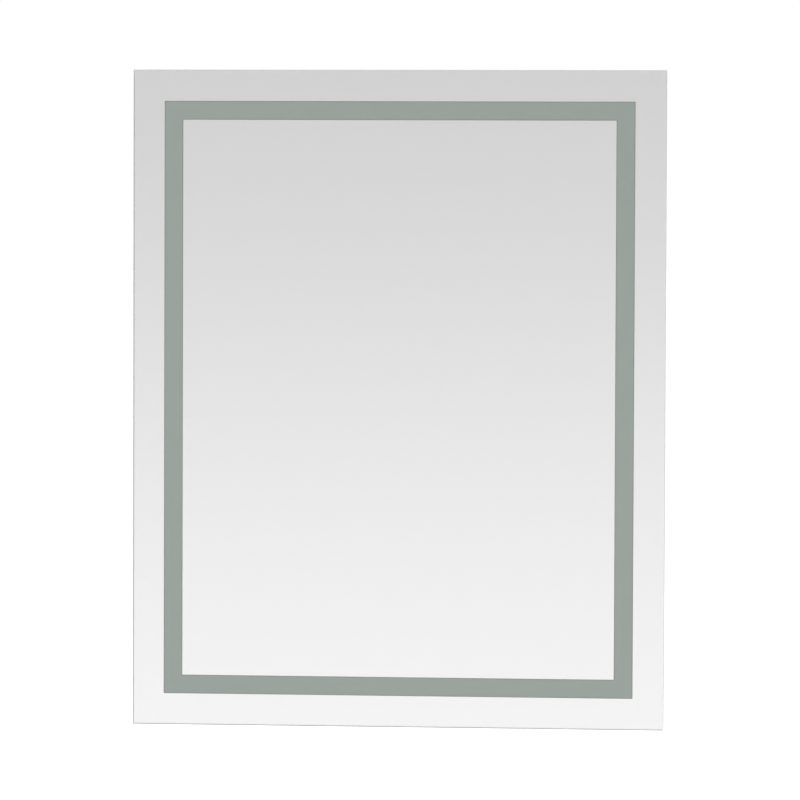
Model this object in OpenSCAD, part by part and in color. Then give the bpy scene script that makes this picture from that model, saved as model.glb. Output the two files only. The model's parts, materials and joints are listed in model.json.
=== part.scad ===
// Lighted bathroom mirror, hung on a pair of hooked rails.
// Millimetres. +X is to the viewer's right, +Y into the wall, +Z up.
// The origin is on the wall plane, midway along the line of wall screws.

/* [Glass] */
// Width of the mirror glass
mirror_w = 650; // [600:10:900]
// Height of the mirror glass
mirror_h = 800; // [700:10:1000]
// Thickness of the mirror glass
glass_t = 5; // [4:1:6]
// Width of the ground arris along every edge of the glass
arris = 0.6; // [0.4:0.1:1.4]

/* [Light band] */
// Distance from the edge of the glass to the frosted band
band_inset = 38; // [38:1:60]
// Width of the frosted band
band_w = 23; // [15:1:40]

/* [Housing] */
// Distance that the housing stands in from the edge of the glass
housing_setback = 20; // [14:1:20]
// Depth of the housing, from its front face to its rear lip
housing_d = 26; // [26:1:32]
// Width of the hollow aluminium section
section_w = 15; // [15:0.5:17]
// Wall thickness of the aluminium section
section_t = 1.4; // [1.2:0.1:1.6]
// Thickness of the sheet-steel rear cover
cover_t = 1; // [0.8:0.1:1.2]

/* [Wall fixing] */
// Gap between the housing and the wall
wall_gap = 9; // [9:0.5:12]
// Distance from the top of the glass down to the line of wall screws
hang_drop = 77; // [77:1:100]
// Distance between the outer wall slots
stud_pitch = 400; // [360:5:410]
// Distance between the inner wall holes
inner_pitch = 200; // [120:5:260]
// Length of each hanging rail
rail_l = 450; // [440:5:480]
// Thickness of the rails
rail_t = 2; // [1.6:0.1:2]
// Radius of the wall screw holes, and half the width of the slots
wall_hole_r = 2.75; // [2.25:0.25:3]
// Length of the wall slots, end to end
slot_l = 14; // [8:1:18]

/* [Light] */
// Width of the LED tape
tape_w = 10; // [8:1:10]
// Length of one cutting unit of the LED tape
tape_unit = 50; // [50:5:100]
// Diodes on one cutting unit
unit_leds = 3; // [3:1:6]

/* [Wiring] */
// Width of the wiring box
box_w = 110; // [104:2:120]
// Height of the wiring box
box_h = 80; // [76:2:90]
// Depth of the wiring box
box_d = 21; // [20:0.5:23]
// Distance from the wall screws down to the middle of the wiring box
box_drop = 160; // [150:5:200]
// Radius of the cable inlet
inlet_r = 5; // [4:0.25:6]
// Length of the LED driver
driver_l = 150; // [140:5:150]
// Width of the LED driver
driver_w = 45; // [42:1:50]
// Thickness of the LED driver
driver_t = 20; // [19:0.5:22]

/* [Hidden] */
$fn = 48;

// Overshoot of a cutting shape past the face that it cuts
cut = 1;
// Radial play of a screw or a tube that fits its hole closely
play = 0.05;
// Radial clearance of a screw that passes through a sheet or a section
clearance = 0.3;

// Thin layers between the glass and the housing
silver_t = 0.1;
paint_t = 0.1;
bond_t = 1;
bond_w = 12;
seal_t = 0.8;
seal_inset = [10.8, 14.2];

// Y of each face, from the wall towards the room
y_back = -wall_gap;
y_seal = y_back - cover_t - seal_t;
y_inside = y_back - cover_t;
y_front = y_back - housing_d;
y_paint = y_front - bond_t;
y_silver = y_paint - paint_t;
y_glass = y_silver - silver_t;
y_room = y_glass - glass_t;

// The glass and the housing, seen from the front
glass_mid = hang_drop - mirror_h / 2;
house_w = mirror_w - 2 * housing_setback;
house_h = mirror_h - 2 * housing_setback;
house_top = hang_drop - housing_setback;

// Sides of the housing, numbered clockwise from the top
TOP = 0;
RIGHT = 1;
BOTTOM = 2;
LEFT = 3;

// Channel on the inner web of the section, which holds the LED tape
channel_y0 = y_front + 4;
channel_y1 = channel_y0 + tape_w + 1;
channel_lip_t = 0.8;
channel_lip_h = 1.2;

// LED tape: board, diodes and resistors as [along, across, height]
tape_t = 0.3;
tape_y = (channel_y0 + channel_y1) / 2;
tape_end_gap = 20;
led_size = [3.5, 2.8, 0.75];
resistor_size = [3.2, 1.6, 0.6];
resistor_offset = 3.2;
pad_l = 3;
pad_y = [tape_y - 2.5, tape_y + 2.5];

// Corner keys, which slide into the ends of the sections
key_leg = 40;
key_play = 0.2;
key_pocket = 7;
key_screw_at = 26;
key_screw_shift = 0.6;
key_screw_y = (channel_y1 + channel_lip_t + y_seal) / 2 - key_screw_shift;
key_pocket_ends = [4, 1];

// Screws as [shaft radius, length, head radius, head height]
key_screw = [1.95, 10, 3.4, 2.2];
cover_screw = [1.7, 8, 3.4, 2.2];
rail_screw = [1.95, 14, 3.9, 2.6];
driver_screw = [1.4, 7, 2.8, 1.8];
lid_screw = [1.7, 6, 3.4, 2.2];
block_screw = [1.4, 6, 2.4, 1.6];

// Head of every screw: crown radius over head radius, and its cross recess as shares of
// the head radius, the head radius and the head height
crown_share = 2.2;
recess_share = [1.15, 0.28, 0.6];

// Screws through the rear cover, along the middle of the section
cover_gap = 0.6;
screw_line = 6;
cover_corner = 48;
cover_side_pitch = (house_h - 120) / 4;
rail_screw_pitch = 120;
nut_r = 3;
nut_flange_r = 4.2;
nut_l = 10;
nut_bulge_r = 4;
nut_bulge = [0.3, 1.4, 2];

// Hooks of the two rails: the mirror's shelf rests on the wall hook
hook_gap = 1.2;
hook_t = rail_t;
mirror_hook_y = -hook_gap - hook_t;
wall_hook_y = mirror_hook_y - hook_gap - hook_t;
hook_z = 27;
hook_depth = 13;
hook_tip_gap = 1;
rail_top_gap = 1;
wall_flange_z = -12;
wall_shelf_z = hook_z - hook_depth - hook_tip_gap;

// Pressed beads of the rear cover
bead_r = 14;
bead_rise = 3;
bead_z = [-640, -270];
bead_x = [-190, 0, 190];

// Bumpers
bumper_r = 10;
bumper_foot_h = 2;
bumper_face_r = 8.2;
bumper_dish_r = [5, 4];
bumper_dish_h = 0.8;
bumper_inset = [35, 28];

// Wiring box
sheet_t = 1;
box_z = -box_drop;
box_flange = 12;
box_y = y_inside - box_d;
opening_margin = 5;
lid_w = box_w + 2 * box_flange;
lid_h = box_h;
lid_screw_x = box_w / 2 + box_flange / 2;
lid_screw_z = 20;
rivet_x = 35;
rivet_z = box_h / 2 + box_flange / 2;
rivet_r = 1.95;
rivet_head_h = 1.3;
rivet_crown_r = 8;
rivet_end_r = 2.85;
rivet_end_l = 2.5;
rivet_grip_play = 1.5;
lid_points = [for (sx = [-1, 1], sz = [-1, 1]) [sx * lid_screw_x, box_z + sz * lid_screw_z]];
rivet_points = [for (sx = [-1, 1], sz = [-1, 1]) [sx * rivet_x, box_z + sz * rivet_z]];
inlet_x = -25;
inlet_z = box_z - 12;
bushing_wall = 3;
bushing_l = 7.5;
bushing_flange = 2.2;
bushing_flange_t = 1.5;

// Driver, beside the wiring box
driver_x = box_w / 2 + 40;
driver_z = box_z + 22;
driver_wall = 1.6;
driver_floor = 2;
driver_lid_y = y_inside - driver_t + driver_wall;
boss_r = 3.2;
boss_h = 10;
boss_bore = 8.5;
boss_inset = 7;
lid_fit = 0.15;
lid_rib_t = 1;
lid_rib_h = 0.9;
board_t = 1.6;
board_y = driver_lid_y + 1;
board_gap = [1, 0.4];
ledge = 2;
cable_hole_r = 4;

// Parts on the driver's board, sized as [along X, out from the board, along Z]
terminal_inset = 6;
terminal_size = [5, 8, 12];
core_size = [26, 3, 24];
winding_size = [18, 7, 24];
capacitor_r = 5;
capacitor_l = 16;
capacitor_x = 32;
choke_r = 6;
choke_wire_r = 3;
choke_x = -50;
heat_sink = [2, 9, 22];
heat_sink_x = 45;
driver_points = [for (x = [driver_x + boss_inset, driver_x + driver_l - boss_inset],
                      sz = [-1, 1]) [x, driver_z + sz * (driver_w / 2 - boss_inset)]];

// Leads, which run in one plane between the wiring box and the driver
lead_y = y_inside - 13;
lead_r = 1.1;
led_lead_r = 0.9;
jumper_r = 0.7;
lead_bend = 4;
jumper_bend = 6;
core_pitch = 4;
led_step = driver_x + driver_l + 17;
led_climb = house_w / 2 - section_w - 15;
led_crest = [7, 11];
led_back_y = y_inside - 2;
grommet_r = 7;
grommet_groove = 1;
grommet_half = 2.5;
grommet_bore = 3.6;

// Terminal block, three poles side by side
pole_pitch = 12;
pole_x = [3, 15, 27];
pole_w = 11;
block_l = 20;
block_y = [box_y + sheet_t, box_y + sheet_t + 15];
block_web = 6;
block_seat_y = block_y[0] + 4;
block_screw_x = [pole_x[0] + pole_pitch / 2, pole_x[1] + pole_pitch / 2];
tube_r = 2.5;
tube_bore = 1.7;
tube_l = 16;
clamp_r = 1.6;
clamp_bore = 2;
clamp_drop = 1.5;
clamp_slot = [0.6, 0.8];
clamp_z = 4.5;
clamp_y = lead_y + lead_r + 2 * play;
wire_end_z = box_z + clamp_z - 1;

// Earth stud
stud_x = -42;
stud_z = box_z + 20;
stud_r = 2;
stud_y1 = lead_y + 6;
ring_t = 0.8;
ring_r = 4;
ring_neck = 1.6;
ring_reach = 8;
crimp_l = 6;
crimp_wall = 0.6;
// Where the crimp and its bore start, back from the reach of the terminal
crimp_back = [3, 2];
hex_across = 7;
hex_h = 3;

// Clips that hold the LED lead on the rear cover
clip_z = [-110, -45, 20];
clip_l = 8;
clip_side = 3.5;
clip_h = 4.2;

// ---- Shapes that repeat ----

// A box between two opposite corners
module block(lo, hi) translate(lo) cube(hi - lo);

// A rod along Y between two Y values, through a point of the X-Z plane
module rod_y(x, z, y0, y1, r)
    translate([x, y0, z]) rotate([-90, 0, 0]) cylinder(h = y1 - y0, r = r);

// A flat sheet between two Y values, from an outline drawn in X and Z
module sheet(y0, y1)
    translate([0, y1, 0]) rotate([90, 0, 0]) linear_extrude(y1 - y0) children();

// A bar along X, from an outline drawn in Y and Z
module bar_x(l) rotate([90, 0, 90]) linear_extrude(l, center = true) children();

// Rectangles centred on the glass, and the ring between two of them
module glass_outline(inset)
    translate([0, glass_mid]) square([mirror_w - 2 * inset, mirror_h - 2 * inset], center = true);
module glass_ring(outer, inner)
    difference() { glass_outline(outer); glass_outline(inner); }

// A row of n stations, centred on zero
function row(n, pitch) = [for (i = [0 : n - 1]) (i - (n - 1) / 2) * pitch];

// Length of one side of the housing
function side_l(side) = side % 2 == 0 ? house_w : house_h;

// Puts a shape on one side of the housing: its X runs along the side,
// its Z points outwards, and z = 0 is the outer face of the section
module on_side(side)
    translate([0, 0, glass_mid]) rotate([0, 90 * side, 0])
        translate([0, 0, side_l(side + 1) / 2]) children();

// Puts a shape in one corner of the housing, with its outer corner at zero
// and both arms running towards minus X and minus Z
module in_corner(sx, sz)
    translate([sx * house_w / 2, 0, glass_mid + sz * house_h / 2])
        mirror([sx < 0 ? 1 : 0, 0, 0]) mirror([0, 0, sz < 0 ? 1 : 0]) children();

// Pan-head screw with a cross recess: the head stands on z = 0 and points up
module pan_screw(size) {
    r = size[0];
    head_r = size[2];
    head_h = size[3];
    crown_r = crown_share * head_r;
    recess = [recess_share[0] * head_r, recess_share[1] * head_r, recess_share[2] * head_h];
    translate([0, 0, -size[1]]) cylinder(h = size[1], r = r);
    difference() {
        intersection() {
            cylinder(h = head_h, r = head_r);
            translate([0, 0, head_h - crown_r]) sphere(crown_r);
        }
        for (turn = [0, 90]) rotate([0, 0, turn])
            translate([0, 0, head_h]) cube([recess[0], recess[1], 2 * recess[2]], center = true);
    }
}

// The same screw with its head towards the wall, standing on y
module rear_screw(x, y, z, size) translate([x, y, z]) rotate([-90, 0, 0]) pan_screw(size);

// Stretch of wire between two points on a line along one axis
function axis_turn(d) = d[0] != 0 ? [0, 90 * sign(d[0]), 0]
    : d[1] != 0 ? [-90 * sign(d[1]), 0, 0] : [d[2] > 0 ? 0 : 180, 0, 0];
module stretch(a, b, r) translate(a) rotate(axis_turn(b - a)) cylinder(h = norm(b - a), r = r);

// Quarter bend about a centre, from direction `from` to direction `to`
function unit(v) = v / norm(v);
module quarter(corner, from, to, r, bend) {
    side = cross(from, to);
    centre = corner + (to - from) * bend;
    // Columns: out to the bend's start, on to its end, and the axis that it turns about
    multmatrix([for (i = [0 : 2]) [-to[i], from[i], side[i], centre[i]]])
        rotate_extrude(angle = 90) translate([bend, 0]) circle(r);
}

// Wire of radius r through points whose steps each follow one axis, with quarter bends
module wire(points, r, bend) {
    last = len(points) - 1;
    dirs = [for (i = [0 : last - 1]) unit(points[i + 1] - points[i])];
    for (i = [0 : last - 1])
        stretch(points[i] + (i > 0 ? bend : 0) * dirs[i],
                points[i + 1] - (i < last - 1 ? bend : 0) * dirs[i], r);
    for (i = [1 : last - 1]) quarter(points[i], dirs[i - 1], dirs[i], r, bend);
}

// ---- Glass ----

// Section of the pane with an arris on both edges, as [across, y]
function pane_section(w) = let (h = w / 2) [
    [-h, y_room + arris], [-h + arris, y_room], [h - arris, y_room], [h, y_room + arris],
    [h, y_glass - arris], [h - arris, y_glass], [-h + arris, y_glass], [-h, y_glass - arris]
];

module mirror_pane() color("#CDD3D0")
    translate([0, 0, glass_mid]) intersection() {
        linear_extrude(mirror_h, center = true) polygon(pane_section(mirror_w));
        bar_x(mirror_w) polygon([for (p = pane_section(mirror_h)) [p[1], p[0]]]);
    }

// Silver film and backing paint stop at the band, which is left clear of both
module silver_border() color("#D9DADA") sheet(y_glass, y_silver) glass_ring(arris, band_inset);
module silver_centre() color("#E2E3E3") sheet(y_glass, y_silver) glass_outline(band_inset + band_w);
module frosted_band() color("#9AA39E")
    sheet(y_glass, y_paint) glass_ring(band_inset, band_inset + band_w);
module paint_border() color("#6E7476") sheet(y_silver, y_paint) glass_ring(arris, band_inset);
module paint_centre() color("#6E7476") sheet(y_silver, y_paint) glass_outline(band_inset + band_w);

// Foam tape between the glass and the sections: two long strips and two between them
module glazing_tape() color("#3A3C3D")
    for (side = [TOP : LEFT]) on_side(side) {
        trim = side % 2 == 0 ? 0 : bond_w;
        half = side_l(side) / 2 - section_t - trim;
        block([-half, y_paint, -section_t - bond_w], [half, y_front, -section_t]);
    }

// ---- Housing ----

// Outline of the section as [y, z]: a hollow tube, a rear lip round the cover,
// and two small lips that form the LED channel on its inner face
function section_outline() = let (inner = -section_w, lip = -section_w - channel_lip_h) [
    [y_front, 0], [y_back, 0], [y_back, -section_t], [y_seal, -section_t], [y_seal, inner],
    [channel_y1 + channel_lip_t, inner], [channel_y1 + channel_lip_t, lip],
    [channel_y1, lip], [channel_y1, inner], [channel_y0, inner], [channel_y0, lip],
    [channel_y0 - channel_lip_t, lip], [channel_y0 - channel_lip_t, inner], [y_front, inner]
];

// Stations of the cover screws along one side
function cover_stations(side) =
    side == TOP ? [-house_w / 2 + cover_corner, house_w / 2 - cover_corner]
    : side == BOTTOM ? row(4, (house_w - 2 * cover_corner) / 3)
    : row(5, cover_side_pitch);
rail_stations = row(4, rail_screw_pitch);

// Puts a shape at each cover screw of one side, with y = 0 on the rear of the cover
module at_cover_screws(side) on_side(side)
    for (x = cover_stations(side)) translate([x, y_back, -screw_line]) children();

// One mitred length of the section, drilled for its screws
module frame_member(side) color("#C3C6C8") difference() {
    l = side_l(side);
    reach = section_w + 2 * channel_lip_h;
    on_side(side) intersection() {
        bar_x(l) difference() {
            polygon(section_outline());
            translate([y_front + section_t, -section_w + section_t])
                square([y_seal - y_front - 2 * section_t, section_w - 2 * section_t]);
        }
        sheet(y_front - cut, y_back + cut)
            polygon([[-l / 2, 0], [l / 2, 0], [l / 2 - reach, -reach], [reach - l / 2, -reach]]);
    }
    at_cover_screws(side) rod_y(0, 0, -6, 0, cover_screw[0] + play);
    if (side == TOP) for (x = rail_stations)
        rod_y(x, house_top - screw_line, y_seal - section_t - cut, y_back, nut_r + play);
    on_side(side) for (sx = [-1, 1]) translate([sx * (l / 2 - key_screw_at), key_screw_y, 0])
        translate([0, 0, -section_w - cut])
            cylinder(h = section_t + 2 * cut, r = key_screw[0] + clearance);
}

module frame_top() frame_member(TOP);
module frame_right() frame_member(RIGHT);
module frame_bottom() frame_member(BOTTOM);
module frame_left() frame_member(LEFT);

// Die-cast corner key: each leg fills the bore of one section and has a pocket in its front
module corner_key() {
    edge = section_t + key_play;
    width = section_w - 2 * edge;
    y0 = y_front + edge;
    y1 = y_seal - edge;
    difference() {
        sheet(y0, y1) polygon([
            [-edge, -edge], [-key_leg, -edge], [-key_leg, -edge - width],
            [-edge - width, -edge - width], [-edge - width, -key_leg], [-edge, -key_leg]
        ]);
        key_drilling(y0);
        mirror([1, 0, -1]) key_drilling(y0);
    }
}

// The screw hole and the pocket of the leg that runs along X
module key_drilling(y0) {
    translate([-key_screw_at, key_screw_y, -section_w])
        cylinder(h = key_screw[1] + 2, r = key_screw[0] + play);
    block([key_pocket_ends[0] - key_leg, y0 - cut, -(section_w + key_pocket) / 2],
          [-section_w - key_pocket_ends[1], y0 + key_pocket, -(section_w - key_pocket) / 2]);
}

module corner_keys() color("#9B9E9F")
    for (sx = [-1, 1], sz = [-1, 1]) in_corner(sx, sz) corner_key();

module corner_key_screws() color("#B9BBB8")
    for (sx = [-1, 1], sz = [-1, 1]) in_corner(sx, sz) {
        translate([-key_screw_at, key_screw_y, -section_w]) rotate([180, 0, 0]) pan_screw(key_screw);
        translate([-section_w, key_screw_y, -key_screw_at]) rotate([0, -90, 0]) pan_screw(key_screw);
    }

// Rectangle centred on the housing, drawn inside its outer faces
module house_outline(inset)
    translate([0, glass_mid]) square([house_w - 2 * inset, house_h - 2 * inset], center = true);

module cover_seal() color("#2E3031") sheet(y_seal, y_inside) difference() {
    house_outline(seal_inset[0]);
    house_outline(seal_inset[1]);
}

// A rod with round ends, the form that a bead is pressed to
module bead_form(x, r) translate([x, y_back + bead_rise - bead_r, 0]) {
    translate([0, 0, bead_z[0]]) cylinder(h = bead_z[1] - bead_z[0], r = r);
    for (z = bead_z) translate([0, 0, z]) sphere(r);
}

module rear_cover() color("#D6D7D4") difference() {
    union() {
        sheet(y_inside, y_back) house_outline(section_t + cover_gap);
        for (x = bead_x) intersection() {
            bead_form(x, bead_r);
            block([x - bead_r, y_back - cover_t / 2, bead_z[0] - bead_r],
                  [x + bead_r, y_back + bead_rise + cut, bead_z[1] + bead_r]);
        }
    }
    for (x = bead_x) bead_form(x, bead_r - cover_t);
    for (side = [TOP : LEFT]) at_cover_screws(side)
        rod_y(0, 0, -cover_t - cut, cut, cover_screw[0] + clearance);
    for (x = rail_stations)
        rod_y(x, house_top - screw_line, y_inside - cut, y_back + cut, rail_screw[0] + clearance);
    block([-box_w / 2 + opening_margin, y_inside - cut, box_z - box_h / 2 + opening_margin],
          [box_w / 2 - opening_margin, y_back + cut, box_z + box_h / 2 - opening_margin]);
    for (p = lid_points) rod_y(p[0], p[1], y_inside - cut, y_back + cut, lid_screw[0] + clearance);
    for (p = rivet_points) rod_y(p[0], p[1], y_inside - cut, y_back + cut, rivet_r + play);
    for (p = driver_points)
        rod_y(p[0], p[1], y_inside - cut, y_back + cut, driver_screw[0] + clearance);
}

module rear_cover_screws() color("#B9BBB8")
    for (side = [TOP : LEFT]) at_cover_screws(side) rotate([-90, 0, 0]) pan_screw(cover_screw);

module wall_bumpers() color("#26282A")
    for (sx = [-1, 1]) translate([sx * (house_w / 2 - bumper_inset[0]), y_back,
                                  house_top - house_h + bumper_inset[1]])
        rotate([-90, 0, 0]) rotate_extrude() polygon([
            [0, 0], [bumper_r, 0], [bumper_r, bumper_foot_h], [bumper_face_r, wall_gap],
            [bumper_dish_r[0], wall_gap], [bumper_dish_r[1], wall_gap - bumper_dish_h],
            [0, wall_gap - bumper_dish_h]
        ]);

// ---- Hanging rails ----

// Each rail is folded from one sheet. Its three flats are nodes that meet face to face,
// so that collision leaves the space behind the hook open for the other rail's hook.

// A flat of either rail, between two corners given as [y, z]
module rail_flat(lo, hi) block([-rail_l / 2, lo[0], lo[1]], [rail_l / 2, hi[0], hi[1]]);

// Rail on the mirror: a flange on the cover, a shelf, and a hook that points down
module hanging_rail_flange() color("#BFC2C2") difference() {
    rail_flat([y_back, hook_z], [y_back + rail_t, house_top - rail_top_gap]);
    for (x = rail_stations)
        rod_y(x, house_top - screw_line, y_back - cut, y_back + rail_t + cut, rail_screw[0] + clearance);
}
module hanging_rail_shelf() color("#BFC2C2")
    rail_flat([y_back + rail_t, hook_z], [mirror_hook_y + hook_t, hook_z + rail_t]);
module hanging_rail_hook() color("#BFC2C2")
    rail_flat([mirror_hook_y, hook_z - hook_depth], [mirror_hook_y + hook_t, hook_z]);

// Rail on the wall: a flange with the fixing holes, a shelf, and a hook that points up
module wall_rail_shelf() color("#BFC2C2")
    rail_flat([wall_hook_y, wall_shelf_z - rail_t], [-rail_t, wall_shelf_z]);
module wall_rail_hook() color("#BFC2C2")
    rail_flat([wall_hook_y, wall_shelf_z], [wall_hook_y + hook_t, hook_z]);
module wall_rail_flange() color("#BFC2C2") difference() {
    rail_flat([-rail_t, wall_flange_z], [0, wall_shelf_z]);
    for (sx = [-1, 1]) {
        rod_y(sx * inner_pitch / 2, 0, -rail_t - cut, cut, wall_hole_r);
        translate([sx * stud_pitch / 2, 0, 0]) {
            run = slot_l / 2 - wall_hole_r;
            for (end = [-1, 1]) rod_y(end * run, 0, -rail_t - cut, cut, wall_hole_r);
            block([-run, -rail_t - cut, -wall_hole_r], [run, cut, wall_hole_r]);
        }
    }
}

module hanging_rail_screws() color("#B9BBB8")
    for (x = rail_stations) rear_screw(x, y_back + rail_t, house_top - screw_line, rail_screw);

// Rivet nuts: a flange under the cover and a threaded body with its upset bulge
module rail_rivet_nuts() color("#A9ABA6") let (grip = seal_t + section_t)
    for (x = rail_stations) translate([x, y_inside, house_top - screw_line])
        rotate([90, 0, 0]) rotate_extrude() polygon([
            [rail_screw[0] + play, 0], [nut_flange_r, 0], [nut_flange_r, seal_t], [nut_r, seal_t],
            [nut_r, grip + play], [nut_bulge_r, grip + play + nut_bulge[0]],
            [nut_bulge_r, grip + nut_bulge[1]], [nut_r, grip + nut_bulge[2]],
            [nut_r, nut_l], [rail_screw[0] + play, nut_l]
        ]);

// ---- Light ----

// Number of cutting units that fit along one side, and the length they make
function units(side) = floor((side_l(side) - 2 * section_w - tape_end_gap) / tape_unit);
function tape_l(side) = units(side) * tape_unit;

// Puts a shape on the tape of one side: z = 0 is the face of the board, pointing outwards
module on_tape(side) on_side(side) translate([0, tape_y, -section_w - tape_t]) children();

module led_tape(side) color("#F0F0EC") on_tape(side)
    block([-tape_l(side) / 2, -tape_w / 2, 0], [tape_l(side) / 2, tape_w / 2, tape_t]);

module led_tape_top() led_tape(TOP);
module led_tape_right() led_tape(RIGHT);
module led_tape_bottom() led_tape(BOTTOM);
module led_tape_left() led_tape(LEFT);

module led_chips() color("#F2D65C")
    for (side = [TOP : LEFT]) on_tape(side)
        for (x = row(units(side) * unit_leds, tape_unit / unit_leds))
            translate([x, 0, -led_size[2] / 2]) cube(led_size, center = true);

module tape_resistors() color("#202224")
    for (side = [TOP : LEFT]) on_tape(side)
        for (x = row(units(side), tape_unit))
            translate([x + tape_unit / unit_leds / 2, resistor_offset, -resistor_size[2] / 2])
                cube(resistor_size, center = true);

// One core of the jumper from the end of one tape round the corner to the next
module tape_jumpers(y) {
    inset = section_w + tape_t + jumper_r;
    end_x = (house_w - tape_l(TOP)) / 2 + pad_l;
    end_z = (house_h - tape_l(LEFT)) / 2 + pad_l;
    for (corner = [[1, -1], [-1, -1], [-1, 1]]) in_corner(corner[0], corner[1])
        wire([[-inset, y, -end_z], [-inset, y, -inset], [-end_x, y, -inset]], jumper_r, jumper_bend);
}
module tape_jumpers_positive() color("#B3261E") tape_jumpers(pad_y[1]);
module tape_jumpers_negative() color("#1D1E20") tape_jumpers(pad_y[0]);

// Lead from the driver, up beside the right-hand section and on to its tape.
// Each core steps back to the cover, climbs, steps forward and turns down on its pad.
module led_lead(start_z, step_x, climb_x, crest, y) {
    tape_top = glass_mid + tape_l(RIGHT) / 2;
    pad_x = house_w / 2 - section_w - tape_t - led_lead_r;
    start_x = driver_x + driver_l - terminal_inset;
    wire([
        [start_x, lead_y, start_z], [step_x, lead_y, start_z], [step_x, led_back_y, start_z],
        [climb_x, led_back_y, start_z], [climb_x, led_back_y, tape_top + crest],
        [climb_x, y, tape_top + crest], [pad_x, y, tape_top + crest],
        [pad_x, y, tape_top - pad_l]
    ], led_lead_r, lead_bend);
}
module led_lead_positive() color("#B3261E")
    led_lead(driver_z + core_pitch / 2, led_step, led_climb, led_crest[0], pad_y[1]);
module led_lead_negative() color("#1D1E20")
    led_lead(driver_z - core_pitch / 2, led_step + core_pitch, led_climb + core_pitch,
             led_crest[1], pad_y[0]);

module wire_clips() color("#E6E6E2") for (z = clip_z) difference() {
    block([led_climb - clip_side, y_inside - clip_h, z - clip_l / 2],
          [led_climb + core_pitch + clip_side, y_inside, z + clip_l / 2]);
    for (x = [led_climb, led_climb + core_pitch])
        translate([x, led_back_y, z - clip_l]) cylinder(h = 2 * clip_l, r = led_lead_r + play);
}

// ---- Driver ----

// Tray of the driver, open towards the glass, with bosses, board ledges and cable holes
module driver_case() color("#E4E5E3") difference() {
    lo = [driver_x, driver_lid_y, driver_z - driver_w / 2];
    hi = [driver_x + driver_l, y_inside, driver_z + driver_w / 2];
    rim = [driver_wall, -cut, driver_wall];
    union() {
        difference() {
            block(lo, hi);
            block(lo + rim, hi - [driver_wall, driver_floor, driver_wall]);
        }
        for (p = driver_points)
            rod_y(p[0], p[1], y_inside - boss_h, y_inside - driver_floor / 2, boss_r);
        for (sz = [0, 1]) mirror_z(driver_z, sz)
            block([lo[0] + driver_wall / 2, board_y + board_t, lo[2] + driver_wall / 2],
                  [hi[0] - driver_wall / 2, board_y + board_t + ledge, lo[2] + driver_wall + ledge]);
    }
    for (p = driver_points)
        rod_y(p[0], p[1], y_inside - boss_bore, y_inside + cut, driver_screw[0] + play);
    for (x = [lo[0], hi[0]]) translate([x, lead_y, driver_z]) rotate([0, 90, 0])
        cylinder(h = 3 * driver_wall, r = cable_hole_r, center = true);
}

// Mirrors a shape in the horizontal plane at height z, or leaves it where it is
module mirror_z(z, on) translate([0, 0, z]) mirror([0, 0, on]) translate([0, 0, -z]) children();

module driver_lid() color("#DADBD9") {
    y0 = y_inside - driver_t;
    fit = driver_wall + lid_fit;
    block([driver_x, y0, driver_z - driver_w / 2],
          [driver_x + driver_l, driver_lid_y, driver_z + driver_w / 2]);
    for (sz = [0, 1]) mirror_z(driver_z, sz)
        block([driver_x + fit, driver_lid_y, driver_z - driver_w / 2 + fit],
              [driver_x + driver_l - fit, driver_lid_y + lid_rib_h,
               driver_z - driver_w / 2 + fit + lid_rib_t]);
}

module driver_board() color("#2F6B45") {
    half_z = driver_w / 2 - driver_wall - board_gap[1];
    block([driver_x + driver_wall + board_gap[0], board_y, driver_z - half_z],
          [driver_x + driver_l - driver_wall - board_gap[0], board_y + board_t, driver_z + half_z]);
}

// A block soldered to the board, centred on x and on the driver's height, from depth y
module on_board(x, y, size)
    translate([x - size[0] / 2, y, driver_z - size[2] / 2]) cube(size);

// Parts soldered to the board: terminals at both ends, transformer, two capacitors, choke
module driver_components() color("#34373A") {
    y0 = board_y + board_t;
    mid_x = driver_x + driver_l / 2;
    for (sx = [-1, 1])
        on_board(mid_x + sx * (driver_l / 2 - terminal_inset - terminal_size[0] / 2), y0, terminal_size);
    on_board(mid_x, y0, core_size);
    on_board(mid_x, y0 + core_size[1], winding_size);
    for (sx = [-1, 1]) translate([mid_x + sx * capacitor_x, y0 + capacitor_r, driver_z - capacitor_l / 2])
        cylinder(h = capacitor_l, r = capacitor_r);
    translate([mid_x + choke_x, y0 + choke_wire_r, driver_z]) rotate([90, 0, 0])
        rotate_extrude() translate([choke_r, 0]) circle(choke_wire_r);
    on_board(mid_x + heat_sink_x, y0, heat_sink);
}

module driver_screws() color("#B9BBB8")
    for (p = driver_points) rear_screw(p[0], y_back, p[1], driver_screw);

// ---- Wiring box ----

// Folded box, open towards the wall, with a flange all round against the rear cover
module junction_box() color("#AEB4B8") difference() {
    half = [box_w / 2, 0, box_h / 2];
    centre = [0, 0, box_z];
    union() {
        block(centre - half + [0, box_y, 0], centre + half + [0, y_inside, 0]);
        block(centre - half + [-box_flange, y_inside - sheet_t, -box_flange],
              centre + half + [box_flange, y_inside, box_flange]);
    }
    block(centre - half + [sheet_t, box_y + sheet_t, sheet_t],
          centre + half + [-sheet_t, y_inside + cut, -sheet_t]);
    translate([box_w / 2, lead_y, driver_z]) rotate([0, 90, 0])
        cylinder(h = 4 * sheet_t, r = grommet_r - grommet_groove, center = true);
    rod_y(stud_x, stud_z, box_y - cut, box_y + sheet_t + cut, stud_r + play);
    for (x = block_screw_x) rod_y(x, box_z, box_y - cut, box_y + sheet_t + cut, block_screw[0] + play);
    for (p = lid_points) rod_y(p[0], p[1], y_inside - 2 * sheet_t, y_back, lid_screw[0] + play);
    for (p = rivet_points) rod_y(p[0], p[1], y_inside - 2 * sheet_t, y_back, rivet_r + play);
}

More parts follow.
